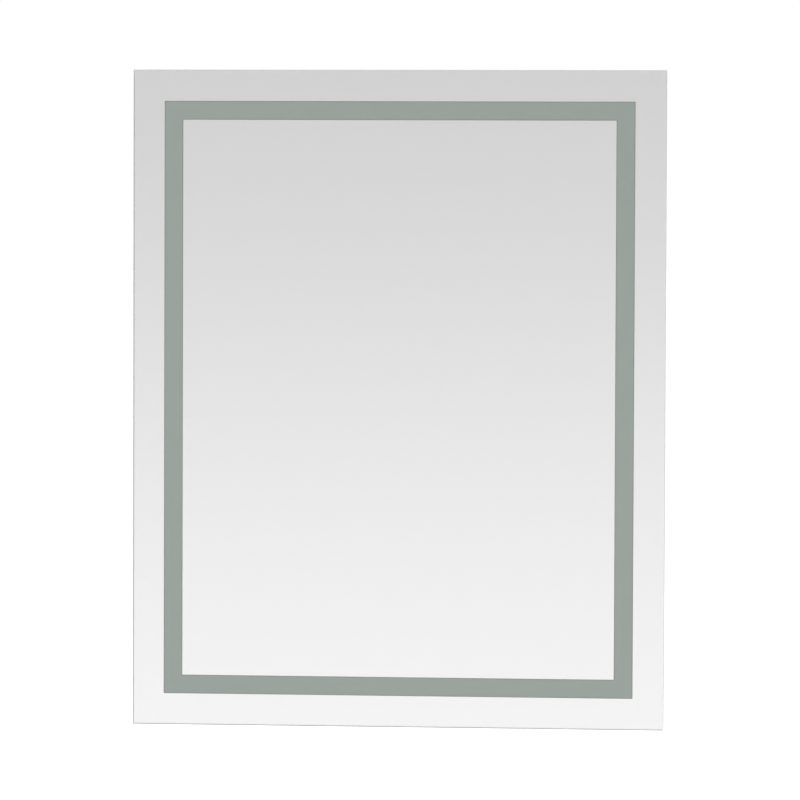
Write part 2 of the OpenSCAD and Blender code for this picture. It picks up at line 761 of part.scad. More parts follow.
// Blind rivets: a domed head behind the cover, a shank, and the set end inside
module junction_box_rivets() color("#C2C5C6")
    for (p = rivet_points) translate([p[0], y_back, p[1]]) rotate([-90, 0, 0]) {
        grip = cover_t + sheet_t;
        intersection() {
            cylinder(h = rivet_head_h, r = 2 * rivet_r);
            translate([0, 0, rivet_head_h - rivet_crown_r]) sphere(rivet_crown_r);
        }
        translate([0, 0, -grip - rivet_grip_play]) cylinder(h = grip + rivet_grip_play, r = rivet_r);
        translate([0, 0, -grip - rivet_end_l]) cylinder(h = rivet_end_l, r = rivet_end_r);
    }

module wiring_cover() color("#AEB4B8") difference() {
    block([-lid_w / 2, y_back, box_z - lid_h / 2], [lid_w / 2, y_back + sheet_t, box_z + lid_h / 2]);
    for (p = lid_points) rod_y(p[0], p[1], y_back - cut, y_back + 2 * sheet_t, lid_screw[0] + clearance);
    rod_y(inlet_x, inlet_z, y_back - cut, y_back + 2 * sheet_t, inlet_r + bushing_wall + play);
}

module wiring_cover_screws() color("#B9BBB8")
    for (p = lid_points) rear_screw(p[0], y_back + sheet_t, p[1], lid_screw);

// Snap bushing that lines the cable inlet
module cable_bushing() color("#1F2123")
    translate([inlet_x, y_back + sheet_t, inlet_z]) rotate([-90, 0, 0]) difference() {
        union() {
            cylinder(h = bushing_flange_t, r = inlet_r + bushing_wall + bushing_flange);
            translate([0, 0, bushing_flange_t - bushing_l])
                cylinder(h = bushing_l, r = inlet_r + bushing_wall);
        }
        translate([0, 0, -bushing_l]) cylinder(h = 2 * bushing_l, r = inlet_r);
    }

// Rubber grommet where the leads pass through the side of the box
module lead_grommet() color("#26282A")
    translate([box_w / 2 - sheet_t / 2, lead_y, driver_z]) rotate([0, 90, 0])
        rotate_extrude() polygon([
            [grommet_bore, -grommet_half], [grommet_r, -grommet_half], [grommet_r, -sheet_t / 2],
            [grommet_r - grommet_groove - play, -sheet_t / 2],
            [grommet_r - grommet_groove - play, sheet_t / 2],
            [grommet_r, sheet_t / 2], [grommet_r, grommet_half], [grommet_bore, grommet_half]
        ]);

// Nylon body with one tower for each pole, bored for the tubes and open over the screws
module terminal_block() color("#EEEDE6") difference() {
    union() {
        for (x = pole_x) block([x - pole_w / 2, block_y[0], box_z - block_l / 2],
                               [x + pole_w / 2, block_y[1], box_z + block_l / 2]);
        block([pole_x[0], block_y[0], box_z - block_l / 2],
              [pole_x[2], block_y[0] + block_web, box_z + block_l / 2]);
    }
    for (x = pole_x) {
        translate([x, lead_y, box_z - block_l]) cylinder(h = 2 * block_l, r = tube_r + play);
        for (sz = [-1, 1]) rod_y(x, box_z + sz * clamp_z, lead_y, block_y[1] + cut, clamp_bore);
    }
    for (x = block_screw_x) {
        rod_y(x, box_z, block_y[0] - cut, block_seat_y + cut, block_screw[0] + play);
        rod_y(x, box_z, block_seat_y, block_y[1] + cut, block_screw[2] + 2 * play);
    }
}

module terminal_tubes() color("#C9A94E") for (x = pole_x) difference() {
    translate([x, lead_y, box_z - tube_l / 2]) cylinder(h = tube_l, r = tube_r);
    translate([x, lead_y, box_z - tube_l]) cylinder(h = 2 * tube_l, r = tube_bore);
    for (sz = [-1, 1]) rod_y(x, box_z + sz * clamp_z, lead_y, lead_y + 2 * tube_r, clamp_r + play);
}

// Slotted clamp screws, two to a pole, that press on the wire
module terminal_clamp_screws() color("#B9BBB8")
    for (x = pole_x, sz = [-1, 1]) difference() {
        top = block_y[1] - clamp_drop;
        rod_y(x, box_z + sz * clamp_z, clamp_y, top, clamp_r);
        block([x - 2 * clamp_r, top - clamp_slot[1], box_z + sz * clamp_z - clamp_slot[0] / 2],
              [x + 2 * clamp_r, top + cut, box_z + sz * clamp_z + clamp_slot[0] / 2]);
    }

// Screws between the poles; each stands in its own well
module terminal_block_screws() color("#B9BBB8")
    for (x = block_screw_x) rear_screw(x, block_seat_y, box_z, block_screw);

module earth_stud() color("#B08D3C") rod_y(stud_x, stud_z, box_y, stud_y1, stud_r);

// A nut under the ring terminal and one over it
module earth_nuts() color("#B9BBB8")
    for (y = [lead_y - ring_t / 2 - hex_h, lead_y + ring_t / 2]) difference() {
        translate([stud_x, y, stud_z]) rotate([-90, 0, 0])
            cylinder(h = hex_h, r = hex_across / sqrt(3), $fn = 6);
        rod_y(stud_x, stud_z, y - cut, y + hex_h + cut, stud_r + play);
    }

module earth_ring_terminal() color("#C4C7C8") difference() {
    union() {
        rod_y(stud_x, stud_z, lead_y - ring_t / 2, lead_y + ring_t / 2, ring_r);
        block([stud_x, lead_y - ring_t / 2, stud_z - ring_neck],
              [stud_x + ring_reach - crimp_back[1], lead_y + ring_t / 2, stud_z + ring_neck]);
        translate([stud_x + ring_reach - crimp_back[0], lead_y, stud_z]) rotate([0, 90, 0])
            cylinder(h = crimp_l, r = lead_r + crimp_wall);
    }
    rod_y(stud_x, stud_z, lead_y - ring_t, lead_y + ring_t, stud_r + play);
    translate([stud_x + ring_reach - crimp_back[1], lead_y, stud_z]) rotate([0, 90, 0])
        cylinder(h = crimp_l, r = lead_r + play);
}

// Leads from the top of the terminal block: two to the driver, one to the earth stud
module live_lead() color("#6B3F22") wire([
    [pole_x[1], lead_y, wire_end_z], [pole_x[1], lead_y, driver_z + core_pitch / 2],
    [driver_x + terminal_inset, lead_y, driver_z + core_pitch / 2]], lead_r, lead_bend);
module neutral_lead() color("#2458A8") wire([
    [pole_x[2], lead_y, wire_end_z], [pole_x[2], lead_y, driver_z - core_pitch / 2],
    [driver_x + terminal_inset, lead_y, driver_z - core_pitch / 2]], lead_r, lead_bend);
module earth_lead() color("#7FA83A") wire([
    [pole_x[0], lead_y, wire_end_z], [pole_x[0], lead_y, stud_z],
    [stud_x + ring_reach - crimp_back[1], lead_y, stud_z]], lead_r, lead_bend);

mirror_pane();
silver_border();
silver_centre();
frosted_band();
paint_border();
paint_centre();
glazing_tape();
frame_top();
frame_right();
frame_bottom();
frame_left();
corner_keys();
corner_key_screws();
led_tape_top();
led_tape_right();
led_tape_bottom();
led_tape_left();
led_chips();
tape_resistors();
tape_jumpers_positive();
tape_jumpers_negative();
cover_seal();
rear_cover();
rear_cover_screws();
hanging_rail_flange();
hanging_rail_shelf();
hanging_rail_hook();
hanging_rail_screws();
rail_rivet_nuts();
wall_rail_flange();
wall_rail_shelf();
wall_rail_hook();
wall_bumpers();
driver_case();
driver_lid();
driver_board();
driver_components();
driver_screws();
junction_box();
junction_box_rivets();
wiring_cover();
wiring_cover_screws();
cable_bushing();
lead_grommet();
terminal_block();
terminal_tubes();
terminal_clamp_screws();
terminal_block_screws();
earth_stud();
earth_nuts();
earth_ring_terminal();
live_lead();
neutral_lead();
earth_lead();
led_lead_positive();
led_lead_negative();
wire_clips();
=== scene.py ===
"""Dresses the lighted bathroom mirror: its glass, housing, rails, light and wiring.

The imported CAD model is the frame: it gives every place and outer size. The pieces that
show from the room or from the wall are made again here as finer surfaces, worked out
with numpy in millimetres, and every node takes the finish of the real piece.
"""

import functools
import json
import logging
import math
from collections.abc import Sequence
from dataclasses import dataclass, field, replace
from enum import Enum

import bmesh
import bpy
import numpy as np
from bpy.types import Material, Node, NodeSocket, NodeTree
from mathutils import Matrix, Vector
from mathutils.geometry import tessellate_polygon


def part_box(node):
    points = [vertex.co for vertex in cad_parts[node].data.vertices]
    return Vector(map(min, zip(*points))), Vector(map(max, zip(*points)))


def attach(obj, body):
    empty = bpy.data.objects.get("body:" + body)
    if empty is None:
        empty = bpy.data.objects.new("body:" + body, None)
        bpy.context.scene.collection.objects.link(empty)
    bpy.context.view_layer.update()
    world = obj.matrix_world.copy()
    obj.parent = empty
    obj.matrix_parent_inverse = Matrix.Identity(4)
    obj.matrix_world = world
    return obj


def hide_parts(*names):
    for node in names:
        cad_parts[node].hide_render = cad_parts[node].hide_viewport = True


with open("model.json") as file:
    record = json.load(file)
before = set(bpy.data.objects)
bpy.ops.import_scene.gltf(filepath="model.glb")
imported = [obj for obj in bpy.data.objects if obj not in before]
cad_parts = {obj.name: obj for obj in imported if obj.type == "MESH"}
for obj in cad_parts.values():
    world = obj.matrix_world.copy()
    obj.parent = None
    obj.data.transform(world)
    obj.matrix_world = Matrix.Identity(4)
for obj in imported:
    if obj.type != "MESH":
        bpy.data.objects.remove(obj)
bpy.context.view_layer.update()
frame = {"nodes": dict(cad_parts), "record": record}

LOG = logging.getLogger("bathroom_mirror")
MM = 0.001
MIRROR = "mirror"
WALL_BRACKET = "wall_bracket"
# Points nearer to each other than this are one point, in millimetres.
WELD = 0.002
# Edges that turn by more degrees than this are drawn sharp.
SHARP = 35.0
# Corners of a square with sides of 2 about the origin, in order.
SQUARE = np.array([(-1, -1), (1, -1), (1, 1), (-1, 1)])


# ---- Shader nodes ----


def linear(hex_colour: str) -> tuple[float, float, float, float]:
    """Turns an sRGB hex colour into linear red, green, blue and an alpha of 1."""
    srgb = [int(hex_colour[i : i + 2], 16) / 255 for i in (1, 3, 5)]
    return (*(c / 12.92 if c <= 0.04045 else ((c + 0.055) / 1.055) ** 2.4 for c in srgb), 1.0)


def add_node(tree: NodeTree, kind: str, *values: object, named: dict | None = None, **settings) -> Node:
    """Adds one shader node with its settings and links.

    Args:
        tree: The tree that takes the node.
        kind: Blender's name of the node's type, without "ShaderNode".
        values: A value or an output socket for each of the first inputs.
        named: The same for other inputs, by their name or place.
        settings: The node's own properties.

    Returns:
        The new node.
    """
    node = tree.nodes.new("ShaderNode" + kind)
    for name, value in settings.items():
        setattr(node, name, value)
    for key, value in (dict(enumerate(values)) | (named or {})).items():
        if isinstance(value, NodeSocket):
            tree.links.new(value, node.inputs[key])
        else:
            node.inputs[key].default_value = value
    return node


def calculate(tree: NodeTree, operation: str, *values: object, kind: str = "Math") -> NodeSocket:
    """Adds a node that works out numbers, or vectors where its kind is "VectorMath"."""
    return add_node(tree, kind, *values, operation=operation).outputs[0]


def pattern(tree: NodeTree, kind: str, place: NodeSocket, size: float) -> Node:
    """Adds a noise or Voronoi texture whose marks are so many millimetres wide."""
    return add_node(tree, kind, place, named={"Scale": 1 / (size * MM)})


def mixed(tree: NodeTree, share: NodeSocket, first: str, second: str) -> NodeSocket:
    """Goes from one sRGB hex colour, where the share is 0, to another, where it is 1."""
    # A mix node has its colours in inputs 6 and 7 and gives theirs in output 2.
    colours = {6: linear(first), 7: linear(second)}
    return add_node(tree, "Mix", share, named=colours, data_type="RGBA").outputs[2]


def toned(tree: NodeTree, colour: NodeSocket | tuple, value: NodeSocket, swing: float) -> NodeSocket:
    """Darkens a colour by a share where a value is 0, and lightens it by as much where it is 1.

    Args:
        tree: The tree that takes the nodes.
        colour: The colour, or the output that gives it.
        value: The output that sets the tone.
        swing: The share.

    Returns:
        The output with the new colour.
    """
    level = add_node(tree, "MapRange", value, 0.0, 1.0, 1 - swing, 1 + swing).outputs[0]
    return add_node(tree, "VectorMath", colour, named={"Scale": level}, operation="SCALE").outputs[0]


# ---- Finishes ----


class Run(Enum):
    """The axis along which a drawn or rolled surface has its lines."""

    EVEN = (0.0, 0.0, 0.0)
    ACROSS = (1.0, 0.0, 0.0)
    UPRIGHT = (0.0, 0.0, 1.0)


@dataclass(frozen=True)
class Grain:
    """A fine irregular pattern in a surface.

    Attributes:
        size: Width of its marks in millimetres.
        tone: How far it lightens and darkens the colour, as a share.
        gloss: How far it raises and lowers the roughness.
        relief: How deep it is in millimetres.
        stretch: How many times longer than wide its marks are, along the finish's run.
    """

    size: float
    tone: float = 0.0
    gloss: float = 0.0
    relief: float = 0.0
    stretch: float = 1.0

    def value(self, tree: NodeTree, place: NodeSocket, run: Run) -> NodeSocket:
        """Adds the grain's noise, which lies about 0.5.

        Args:
            tree: The material's tree.
            place: Coordinates in metres.
            run: The axis along which the marks are stretched.

        Returns:
            The noise's output.
        """
        scale = [1 - axis * (1 - 1 / self.stretch) for axis in run.value]
        moved = add_node(tree, "Mapping", place, named={"Scale": scale}).outputs[0]
        return pattern(tree, "TexNoise", moved, self.size).outputs[0]


@dataclass(frozen=True)
class Finish:
    """A real finish: a Principled surface with the grains that its making leaves.

    Attributes:
        slot: The record's material slot.
        colour: Its colour as an sRGB hex value.
        roughness: Its mean roughness.
        metallic: 1 for bare metal.
        ior: Index of refraction, for a surface that isn't metal.
        grains: Patterns that vary its colour and gloss and raise its relief.
        run: The axis of its drawn lines.
        coat: Weight of a clear coat.
        transmission: Share of the light that goes through the surface.
    """

    slot: str
    colour: str
    roughness: float
    metallic: float = 0.0
    ior: float = 1.5
    grains: tuple[Grain, ...] = ()
    run: Run = Run.EVEN
    coat: float = 0.0
    transmission: float = 0.0

    def base(self, tree: NodeTree, place: NodeSocket) -> NodeSocket | tuple:
        """Gives the colour before any grain: one for the whole surface."""
        return linear(self.colour)[:3]

    def make(self) -> Material:
        """Builds the material: the shader's own values, then what changes over the surface.

        Returns:
            The new material.
        """
        material = bpy.data.materials.new(f"{self.slot}_{self.run.name.lower()}")
        material.use_nodes = True
        tree = material.node_tree
        shader = tree.nodes["Principled BSDF"]
        plain = {"Base Color": linear(self.colour), "Roughness": self.roughness, "Metallic": self.metallic}
        plain |= {"IOR": self.ior, "Coat Weight": self.coat, "Transmission Weight": self.transmission}
        for name, value in plain.items():
            shader.inputs[name].default_value = value
        self.work(tree, shader, add_node(tree, "TexCoord").outputs["Object"])
        return material

    def work(self, tree: NodeTree, shader: Node, place: NodeSocket) -> None:
        """Adds the grains: tone times the colour, gloss onto the roughness, relief as bump.

        Args:
            tree: The material's tree.
            shader: Its Principled shader.
            place: Coordinates in metres.
        """
        colour, rough, normal = self.base(tree, place), self.roughness, None
        for grain in self.grains:
            value = grain.value(tree, place, self.run)
            if grain.tone:
                colour = toned(tree, colour, value, grain.tone)
            if grain.gloss:
                swing = add_node(tree, "MapRange", value, 0.0, 1.0, -grain.gloss, grain.gloss).outputs[0]
                rough = calculate(tree, "ADD", swing, rough)
            if grain.relief:
                raised = {"Height": value, "Distance": grain.relief * MM, "Strength": 1.0}
                raised |= {"Normal": normal} if normal else {}
                normal = add_node(tree, "Bump", named=raised).outputs[0]
        for name, source in (("Base Color", colour), ("Roughness", rough), ("Normal", normal)):
            if isinstance(source, NodeSocket):
                tree.links.new(source, shader.inputs[name])


@dataclass(frozen=True)
class BandGlass(Finish):
    """Sandblasted glass between two borders, darkened near each border by a painted shade rim.

    Attributes:
        shaded_rim_colour: Colour of the painted shade along both borders.
        rim: Width of the painted shade in millimetres, up to the middle of its soft border.
        outer: Half width and half height of the band's outer border in millimetres.
        width: Width of the band in millimetres.
        middle: Height of the band's middle in millimetres.
    """

    shaded_rim_colour: str = "#737D78"
    rim: float = 1.1
    outer: tuple[float, float] = (287.0, 362.0)
    width: float = 23.0
    middle: float = -323.0

    def base(self, tree: NodeTree, place: NodeSocket) -> NodeSocket:
        """Gives the colour by the distance to the nearer border, with painted shade near both borders.

        The distance to the outer border is the lesser of the two half sizes less |x| and
        |z|, and the distance to the inner border is the band's width less that.
        """
        centred = calculate(tree, "SUBTRACT", place, (0.0, 0.0, self.middle * MM), kind="VectorMath")
        reach = calculate(tree, "ABSOLUTE", centred, kind="VectorMath")
        half = (self.outer[0] * MM, 0.0, self.outer[1] * MM)
        left = calculate(tree, "SUBTRACT", half, reach, kind="VectorMath")
        axes = add_node(tree, "SeparateXYZ", left).outputs
        inwards = calculate(tree, "MINIMUM", axes["X"], axes["Z"])
        back = calculate(tree, "SUBTRACT", self.width * MM, inwards)
        nearer = calculate(tree, "MINIMUM", inwards, back)
        soft = (self.rim * MM * 0.5, self.rim * MM * 1.5)
        share = add_node(tree, "MapRange", nearer, *soft, 0.0, 1.0, interpolation_type="SMOOTHSTEP")
        # Painted shade: the band darkens to the rim colour within about a rim's width of either border.
        return mixed(tree, share.outputs[0], self.shaded_rim_colour, self.colour)


@dataclass(frozen=True)
class Spangled(Finish):
    """Hot-dip galvanised sheet: zinc crystals, each of its own brightness.

    Attributes:
        crystal: Width of a crystal in millimetres.
        contrast: How far the palest and the darkest crystals are from the colour, as a share.
        fray: How far the crystals' borders wander in millimetres.
    """

    crystal: float = 7.0
    contrast: float = 0.12
    fray: float = 3.0

    def base(self, tree: NodeTree, place: NodeSocket) -> NodeSocket:
        """Gives one tone to each cell of a Voronoi pattern with frayed borders."""
        wander = pattern(tree, "TexNoise", place, self.fray).outputs["Color"]
        push = (self.fray * MM,) * 3
        frayed = calculate(tree, "MULTIPLY_ADD", wander, push, place, kind="VectorMath")
        tones = pattern(tree, "TexVoronoi", frayed, self.crystal).outputs["Color"]
        shade = add_node(tree, "SeparateColor", tones).outputs[0]
        return toned(tree, linear(self.colour)[:3], shade, self.contrast)


@dataclass(frozen=True)
class CellFoam(Finish):
    """Closed-cell foam strip: small round cells, cut through at its edges.

    Attributes:
        cell: Width of a cell in millimetres.
        contrast: How far a cell's middle and its skin are from the colour, as a share.
    """

    cell: float = 0.6
    contrast: float = 0.25

    def base(self, tree: NodeTree, place: NodeSocket) -> NodeSocket:
        """Gives a colour that is darker in the middle of each cell."""
        cells = pattern(tree, "TexVoronoi", place, self.cell)
        return toned(tree, linear(self.colour)[:3], cells.outputs["Distance"], self.contrast)


@dataclass(frozen=True)
class StripedSheath(Finish):
    """Insulation of the earth lead, extruded in two colours that share its round.

    Attributes:
        stripe: Colour of the half that faces the wall.
        border: The Y plane between the two colours in millimetres.
    """

    stripe: str = "#D9C21E"
    border: float = -22.8

    def base(self, tree: NodeTree, place: NodeSocket) -> NodeSocket:
        """Gives the ground colour on one side of a plane and the stripe on the other."""
        depth = add_node(tree, "SeparateXYZ", place).outputs["Y"]
        share = calculate(tree, "GREATER_THAN", depth, self.border * MM)
        return mixed(tree, share, self.colour, self.stripe)


@dataclass(frozen=True)
class SolderMask(Finish):
    """Lacquered circuit board: its copper tracks look a little paler under the mask.

    Attributes:
        track: Colour over a copper track.
        pitch: Distance between tracks in millimetres.
        width: Width of a track as a share of the pitch.
        length: Length of a track as a multiple of the pitch.
    """

    track: str = "#4E8F63"
    pitch: float = 2.54
    width: float = 0.12
    length: float = 4.0

    def base(self, tree: NodeTree, place: NodeSocket) -> NodeSocket:
        """Gives tracks as the joints of a brick pattern in the board's own plane."""
        turned = add_node(tree, "Mapping", place, named={"Rotation": (math.pi / 2, 0, 0)}).outputs[0]
        ground = linear(self.colour)
        sizes = {"Scale": 1 / (self.pitch * MM), "Mortar Size": self.width}
        sizes |= {"Brick Width": self.length, "Row Height": 1.0}
        bricks = add_node(tree, "TexBrick", turned, ground, ground, linear(self.track), named=sizes)
        return bricks.outputs[0]


# Float glass, cut and washed: clear and without colour at this thickness.
CLEAR_GLASS = Finish("clear_glass", "#FFFFFF", roughness=0.0, ior=1.52, transmission=1.0)
# The same glass where a wheel has ground its edge: pale and matt, with fine scratches.
GROUND_GLASS = Finish(
    "clear_glass",
    "#D3DAD7",
    roughness=0.42,
    ior=1.52,
    transmission=0.5,
    grains=(Grain(0.5, tone=0.03, gloss=0.08), Grain(0.2, relief=0.01)),
)
# Silver laid on wet from a bath: a true mirror, with the slightest clouding.
SILVERING = Finish("silvering", "#F0F0F0", roughness=0.0, metallic=1.0, grains=(Grain(60.0, tone=0.002),))
# Glass blasted with fine grit: matt and grey, with the green of the glass behind it.
# The grit is finer than a pixel, so it is drawn at about a millimetre.
# Along both borders of the band its colour darkens to a painted shade.
SANDBLASTED = BandGlass(
    "sandblasted_glass",
    "#87918C",
    roughness=0.6,
    ior=1.52,
    grains=(Grain(1.1, tone=0.03), Grain(0.3, gloss=0.08, relief=0.02)),
)
# Two coats of mirror backing paint from a curtain coater: flat, with a soft ripple.
BACKING_PAINT = Finish(
    "backing_paint",
    "#6E7476",
    roughness=0.46,
    grains=(Grain(9.0, tone=0.025, gloss=0.04), Grain(1.8, relief=0.02, tone=0.02)),
)
FOAM = CellFoam("foam", "#3A3C3D", roughness=0.95, grains=(Grain(0.5, relief=0.08),))
# Extruded aluminium, anodised to a satin: fine die lines run the length of the bar.
DIE_LINES = (Grain(0.7, tone=0.06, gloss=0.06, stretch=160.0), Grain(0.25, relief=0.004, stretch=200.0))
ALUMINIUM_ACROSS = Finish(
    "anodised_aluminium", "#C6C8C9", roughness=0.32, metallic=1.0, grains=DIE_LINES, run=Run.ACROSS
)
ALUMINIUM_UPRIGHT = replace(ALUMINIUM_ACROSS, run=Run.UPRIGHT)
# Zinc pressed into a mould: grey and dull, with flow marks.
DIE_CAST_ZINC = Finish(
    "die_cast_zinc",
    "#9B9E9F",
    roughness=0.46,
    metallic=1.0,
    grains=(Grain(4.0, tone=0.06, gloss=0.06), Grain(0.6, relief=0.03)),
)
# Bright zinc plate under a thin passivated film, which clouds it a little.
ZINC_PLATE = Finish(
    "zinc_plated_steel",
    "#BFC2C2",
    roughness=0.34,
    metallic=1.0,
    grains=(Grain(30.0, tone=0.05, gloss=0.04), Grain(6.0, tone=0.02, gloss=0.03)),
)
# Polyester powder, baked: a fine orange peel, drawn a little coarser than its 0.8 mm.
POWDER_COAT = Finish(
    "powder_coated_steel",
    "#D6D7D4",
    roughness=0.4,
    grains=(Grain(1.3, relief=0.075, gloss=0.04), Grain(30.0, tone=0.012)),
)
# Galvanised sheet: a soft spangle, with fine rolling marks under it.
GALVANISED = Spangled(
    "galvanised_steel",
    "#AEB4B8",
    roughness=0.4,
    metallic=1.0,
    grains=(Grain(6.0, gloss=0.07), Grain(1.2, relief=0.001, tone=0.03)),
)
LED_TAPE = Finish(
    "led_tape_white", "#F0F0EC", roughness=0.42, grains=(Grain(3.0, tone=0.015), Grain(0.4, relief=0.005))
)
# Silicone over yellow phosphor: soft gloss, paler where the phosphor is thin.
PHOSPHOR = Finish("led_phosphor", "#F2D65C", roughness=0.25, ior=1.41, grains=(Grain(0.8, tone=0.06),))
COMPONENT = Finish(
    "black_component", "#34373A", roughness=0.5, grains=(Grain(1.5, tone=0.06), Grain(0.3, relief=0.02))
)
CIRCUIT_BOARD = SolderMask(
    "circuit_board", "#2F6B45", roughness=0.3, coat=0.3, grains=(Grain(0.6, gloss=0.05),)
)
# Polycarbonate from a spark-eroded mould: a fine even texture.
WHITE_PLASTIC = Finish(
    "white_plastic",
    "#E4E5E3",
    roughness=0.48,
    ior=1.58,
    grains=(Grain(0.5, relief=0.02), Grain(12.0, tone=0.01)),
)
NATURAL_NYLON = Finish(
    "natural_nylon",
    "#EEEDE6",
    roughness=0.42,
    ior=1.53,
    grains=(Grain(3.0, tone=0.02), Grain(0.7, relief=0.01)),
)
# Moulded rubber: dull, with a faint grey bloom.
BLACK_RUBBER = Finish(
    "black_rubber",
    "#26282A",
    roughness=0.7,
    grains=(Grain(2.5, tone=0.14, gloss=0.06), Grain(0.4, relief=0.02)),
)
BRASS = Finish(
    "brass",
    "#C9A94E",
    roughness=0.28,
    metallic=1.0,
    grains=(Grain(0.4, tone=0.05, gloss=0.06, relief=0.004),),
)
TINNED_COPPER = Finish(
    "tinned_copper", "#C4C7C8", roughness=0.36, metallic=1.0, grains=(Grain(1.2, tone=0.05, gloss=0.06),)
)
# Extruded insulation: even and softly glossy.
SHEATH = (Grain(2.0, tone=0.05), Grain(0.3, relief=0.006, gloss=0.04))
SHEATH_COLOURS = {"brown": "#6B3F22", "blue": "#2458A8", "red": "#B3261E", "black": "#1D1E20"}
SHEATHS = {
    f"wire_{name}": Finish(f"wire_{name}", colour, roughness=0.4, ior=1.53, grains=SHEATH)
    for name, colour in SHEATH_COLOURS.items()
}
EARTH_SHEATH = StripedSheath("wire_green_yellow", "#3E8A35", roughness=0.4, ior=1.53, grains=SHEATH)

FINISHES = SHEATHS | {
    finish.slot: finish
    for finish in (
        CLEAR_GLASS, SILVERING, SANDBLASTED, BACKING_PAINT, FOAM, ALUMINIUM_ACROSS, DIE_CAST_ZINC,
        ZINC_PLATE, POWDER_COAT, GALVANISED, LED_TAPE, PHOSPHOR, COMPONENT, CIRCUIT_BOARD,
        WHITE_PLASTIC, NATURAL_NYLON, BLACK_RUBBER, BRASS, TINNED_COPPER, EARTH_SHEATH,
    )
}


@functools.cache
def material_of(finish: Finish) -> Material:
    """Builds a finish's material once, and returns that one each time."""
    return finish.make()


# ---- Outlines ----


def unit(vectors: np.ndarray) -> np.ndarray:
    """Scales vectors, one to a row, to a length of 1."""
    return vectors / np.linalg.norm(vectors, axis=-1, keepdims=True)


def rounded(corners: Sequence, radii: float | Sequence[float], steps: int = 4) -> np.ndarray:
    """Rounds each corner of a closed outline with an arc.

    The arc's centre lies on the corner's bisector at radius / sin(half the inner angle),
    and its points turn evenly from the tangent point on one edge to that on the other.

    Args:
        corners: The outline's corners in order.
        radii: One radius for all corners, or one for each.
        steps: Steps along each arc.

    Returns:
        The rounded outline, one point to a row, in the same order.
    """
    corners = np.asarray(corners, float)
    radii = np.broadcast_to(np.asarray(radii, float), len(corners))[:, None]
    back = unit(np.roll(corners, 1, axis=0) - corners)
    ahead = unit(np.roll(corners, -1, axis=0) - corners)
    half = np.arccos(np.clip((back * ahead).sum(axis=1, keepdims=True), -1, 1)) / 2
    centres = corners + unit(back + ahead) * radii / np.sin(half)
    first = corners + back * radii / np.tan(half) - centres
    last = corners + ahead * radii / np.tan(half) - centres
    turn = (math.pi - 2 * half)[:, :, None]
    share = np.linspace(0, 1, steps + 1)[None, :, None]
    arcs = np.sin((1 - share) * turn) * first[:, None] + np.sin(share * turn) * last[:, None]
    return (centres[:, None] + arcs / np.sin(turn)).reshape(-1, 2)


def rounded_path(corners: Sequence, radii: float | Sequence[float], steps: int = 4) -> np.ndarray:
    """Rounds the corners of an open path as `rounded` does, and keeps its two ends sharp."""
    arcs = rounded(corners, radii, steps).reshape(len(corners), steps + 1, 2)
    return np.vstack([corners[:1], arcs[1:-1].reshape(-1, 2), corners[-1:]])


def inset(outline: np.ndarray, by: float) -> np.ndarray:
    """Moves each point of a closed outline inwards, square to the chord between its neighbours.

    Args:
        outline: The outline, in either sense of turning.
        by: How far the points move.

    Returns:
        The smaller outline.
    """
    chord = unit(np.roll(outline, -1, axis=0) - np.roll(outline, 1, axis=0))
    x, y = outline[:, 0], outline[:, 1]
    area = (x * np.roll(y, -1) - np.roll(x, -1) * y).sum()
    return outline + np.stack([-chord[:, 1], chord[:, 0]], axis=1) * np.sign(area) * by


def circle(steps: int, start: float = 0.0) -> np.ndarray:
    """Places points evenly on a circle of radius 1, the first at the angle `start`."""
    angle = np.linspace(0, 2 * math.pi, steps, endpoint=False) + start
    return np.stack([np.cos(angle), np.sin(angle)], axis=-1)


def crosswise(outline: np.ndarray, x: float) -> np.ndarray:
    """Stands an outline, given in Y and Z, in the plane at x."""
    return np.insert(outline, 0, x, axis=1)


def upright(outline: np.ndarray, y: float, centre: Sequence[float] = (0.0, 0.0)) -> np.ndarray:
    """Stands an outline, given in X and Z about a centre, in the plane at y."""
    x, z = outline[..., 0] + centre[0], outline[..., 1] + centre[1]
    return np.stack([x, np.full_like(x, y), z], axis=-1)


def middle_and_half(low: np.ndarray, high: np.ndarray) -> tuple[np.ndarray, np.ndarray]:
    """Middle and half size of a box, both in X and Z."""
    return ((low + high) / 2)[[0, 2]], ((high - low) / 2)[[0, 2]]


# ---- Surfaces ----


@dataclass
class Patch:
    """A stretch of surface.

    Attributes:
        points: Its points in millimetres, one to a row.
        faces: Its faces as rows of point numbers.
        finish: Place of its finish in the piece's list.
    """

    points: np.ndarray
    faces: np.ndarray
    finish: int = 0


def cells_of(number: np.ndarray) -> np.ndarray:
    """Gives the four corners of each cell of a grid of point numbers."""
    return np.stack([number[:-1, :-1], number[1:, :-1], number[1:, 1:], number[:-1, 1:]], axis=-1)


def grid_patch(points: np.ndarray, wrap: bool = False, finish: int = 0) -> Patch:
    """Joins a grid of points with four-sided faces.

    Args:
        points: An array of rows by columns by 3.
        wrap: Whether the last column joins the first.
        finish: Place of the finish.

    Returns:
        The patch.
    """
    rows, columns = points.shape[:2]
    number = np.arange(rows * columns).reshape(rows, columns)
    if wrap:
        number = np.hstack([number, number[:, :1]])
    return Patch(points.reshape(-1, 3), cells_of(number).reshape(-1, 4), finish)


def flat_patch(outline: np.ndarray) -> Patch:
    """Closes a flat outline with one face."""
    return Patch(outline, np.arange(len(outline))[None, :])


def ring_patch(outer: np.ndarray, inner: np.ndarray) -> Patch:
    """Fills the flat area between two outlines with triangles."""
    loops = [[Vector(point) for point in outline] for outline in (outer, inner)]
    return Patch(np.vstack([outer, inner]), np.array(tessellate_polygon(loops)))


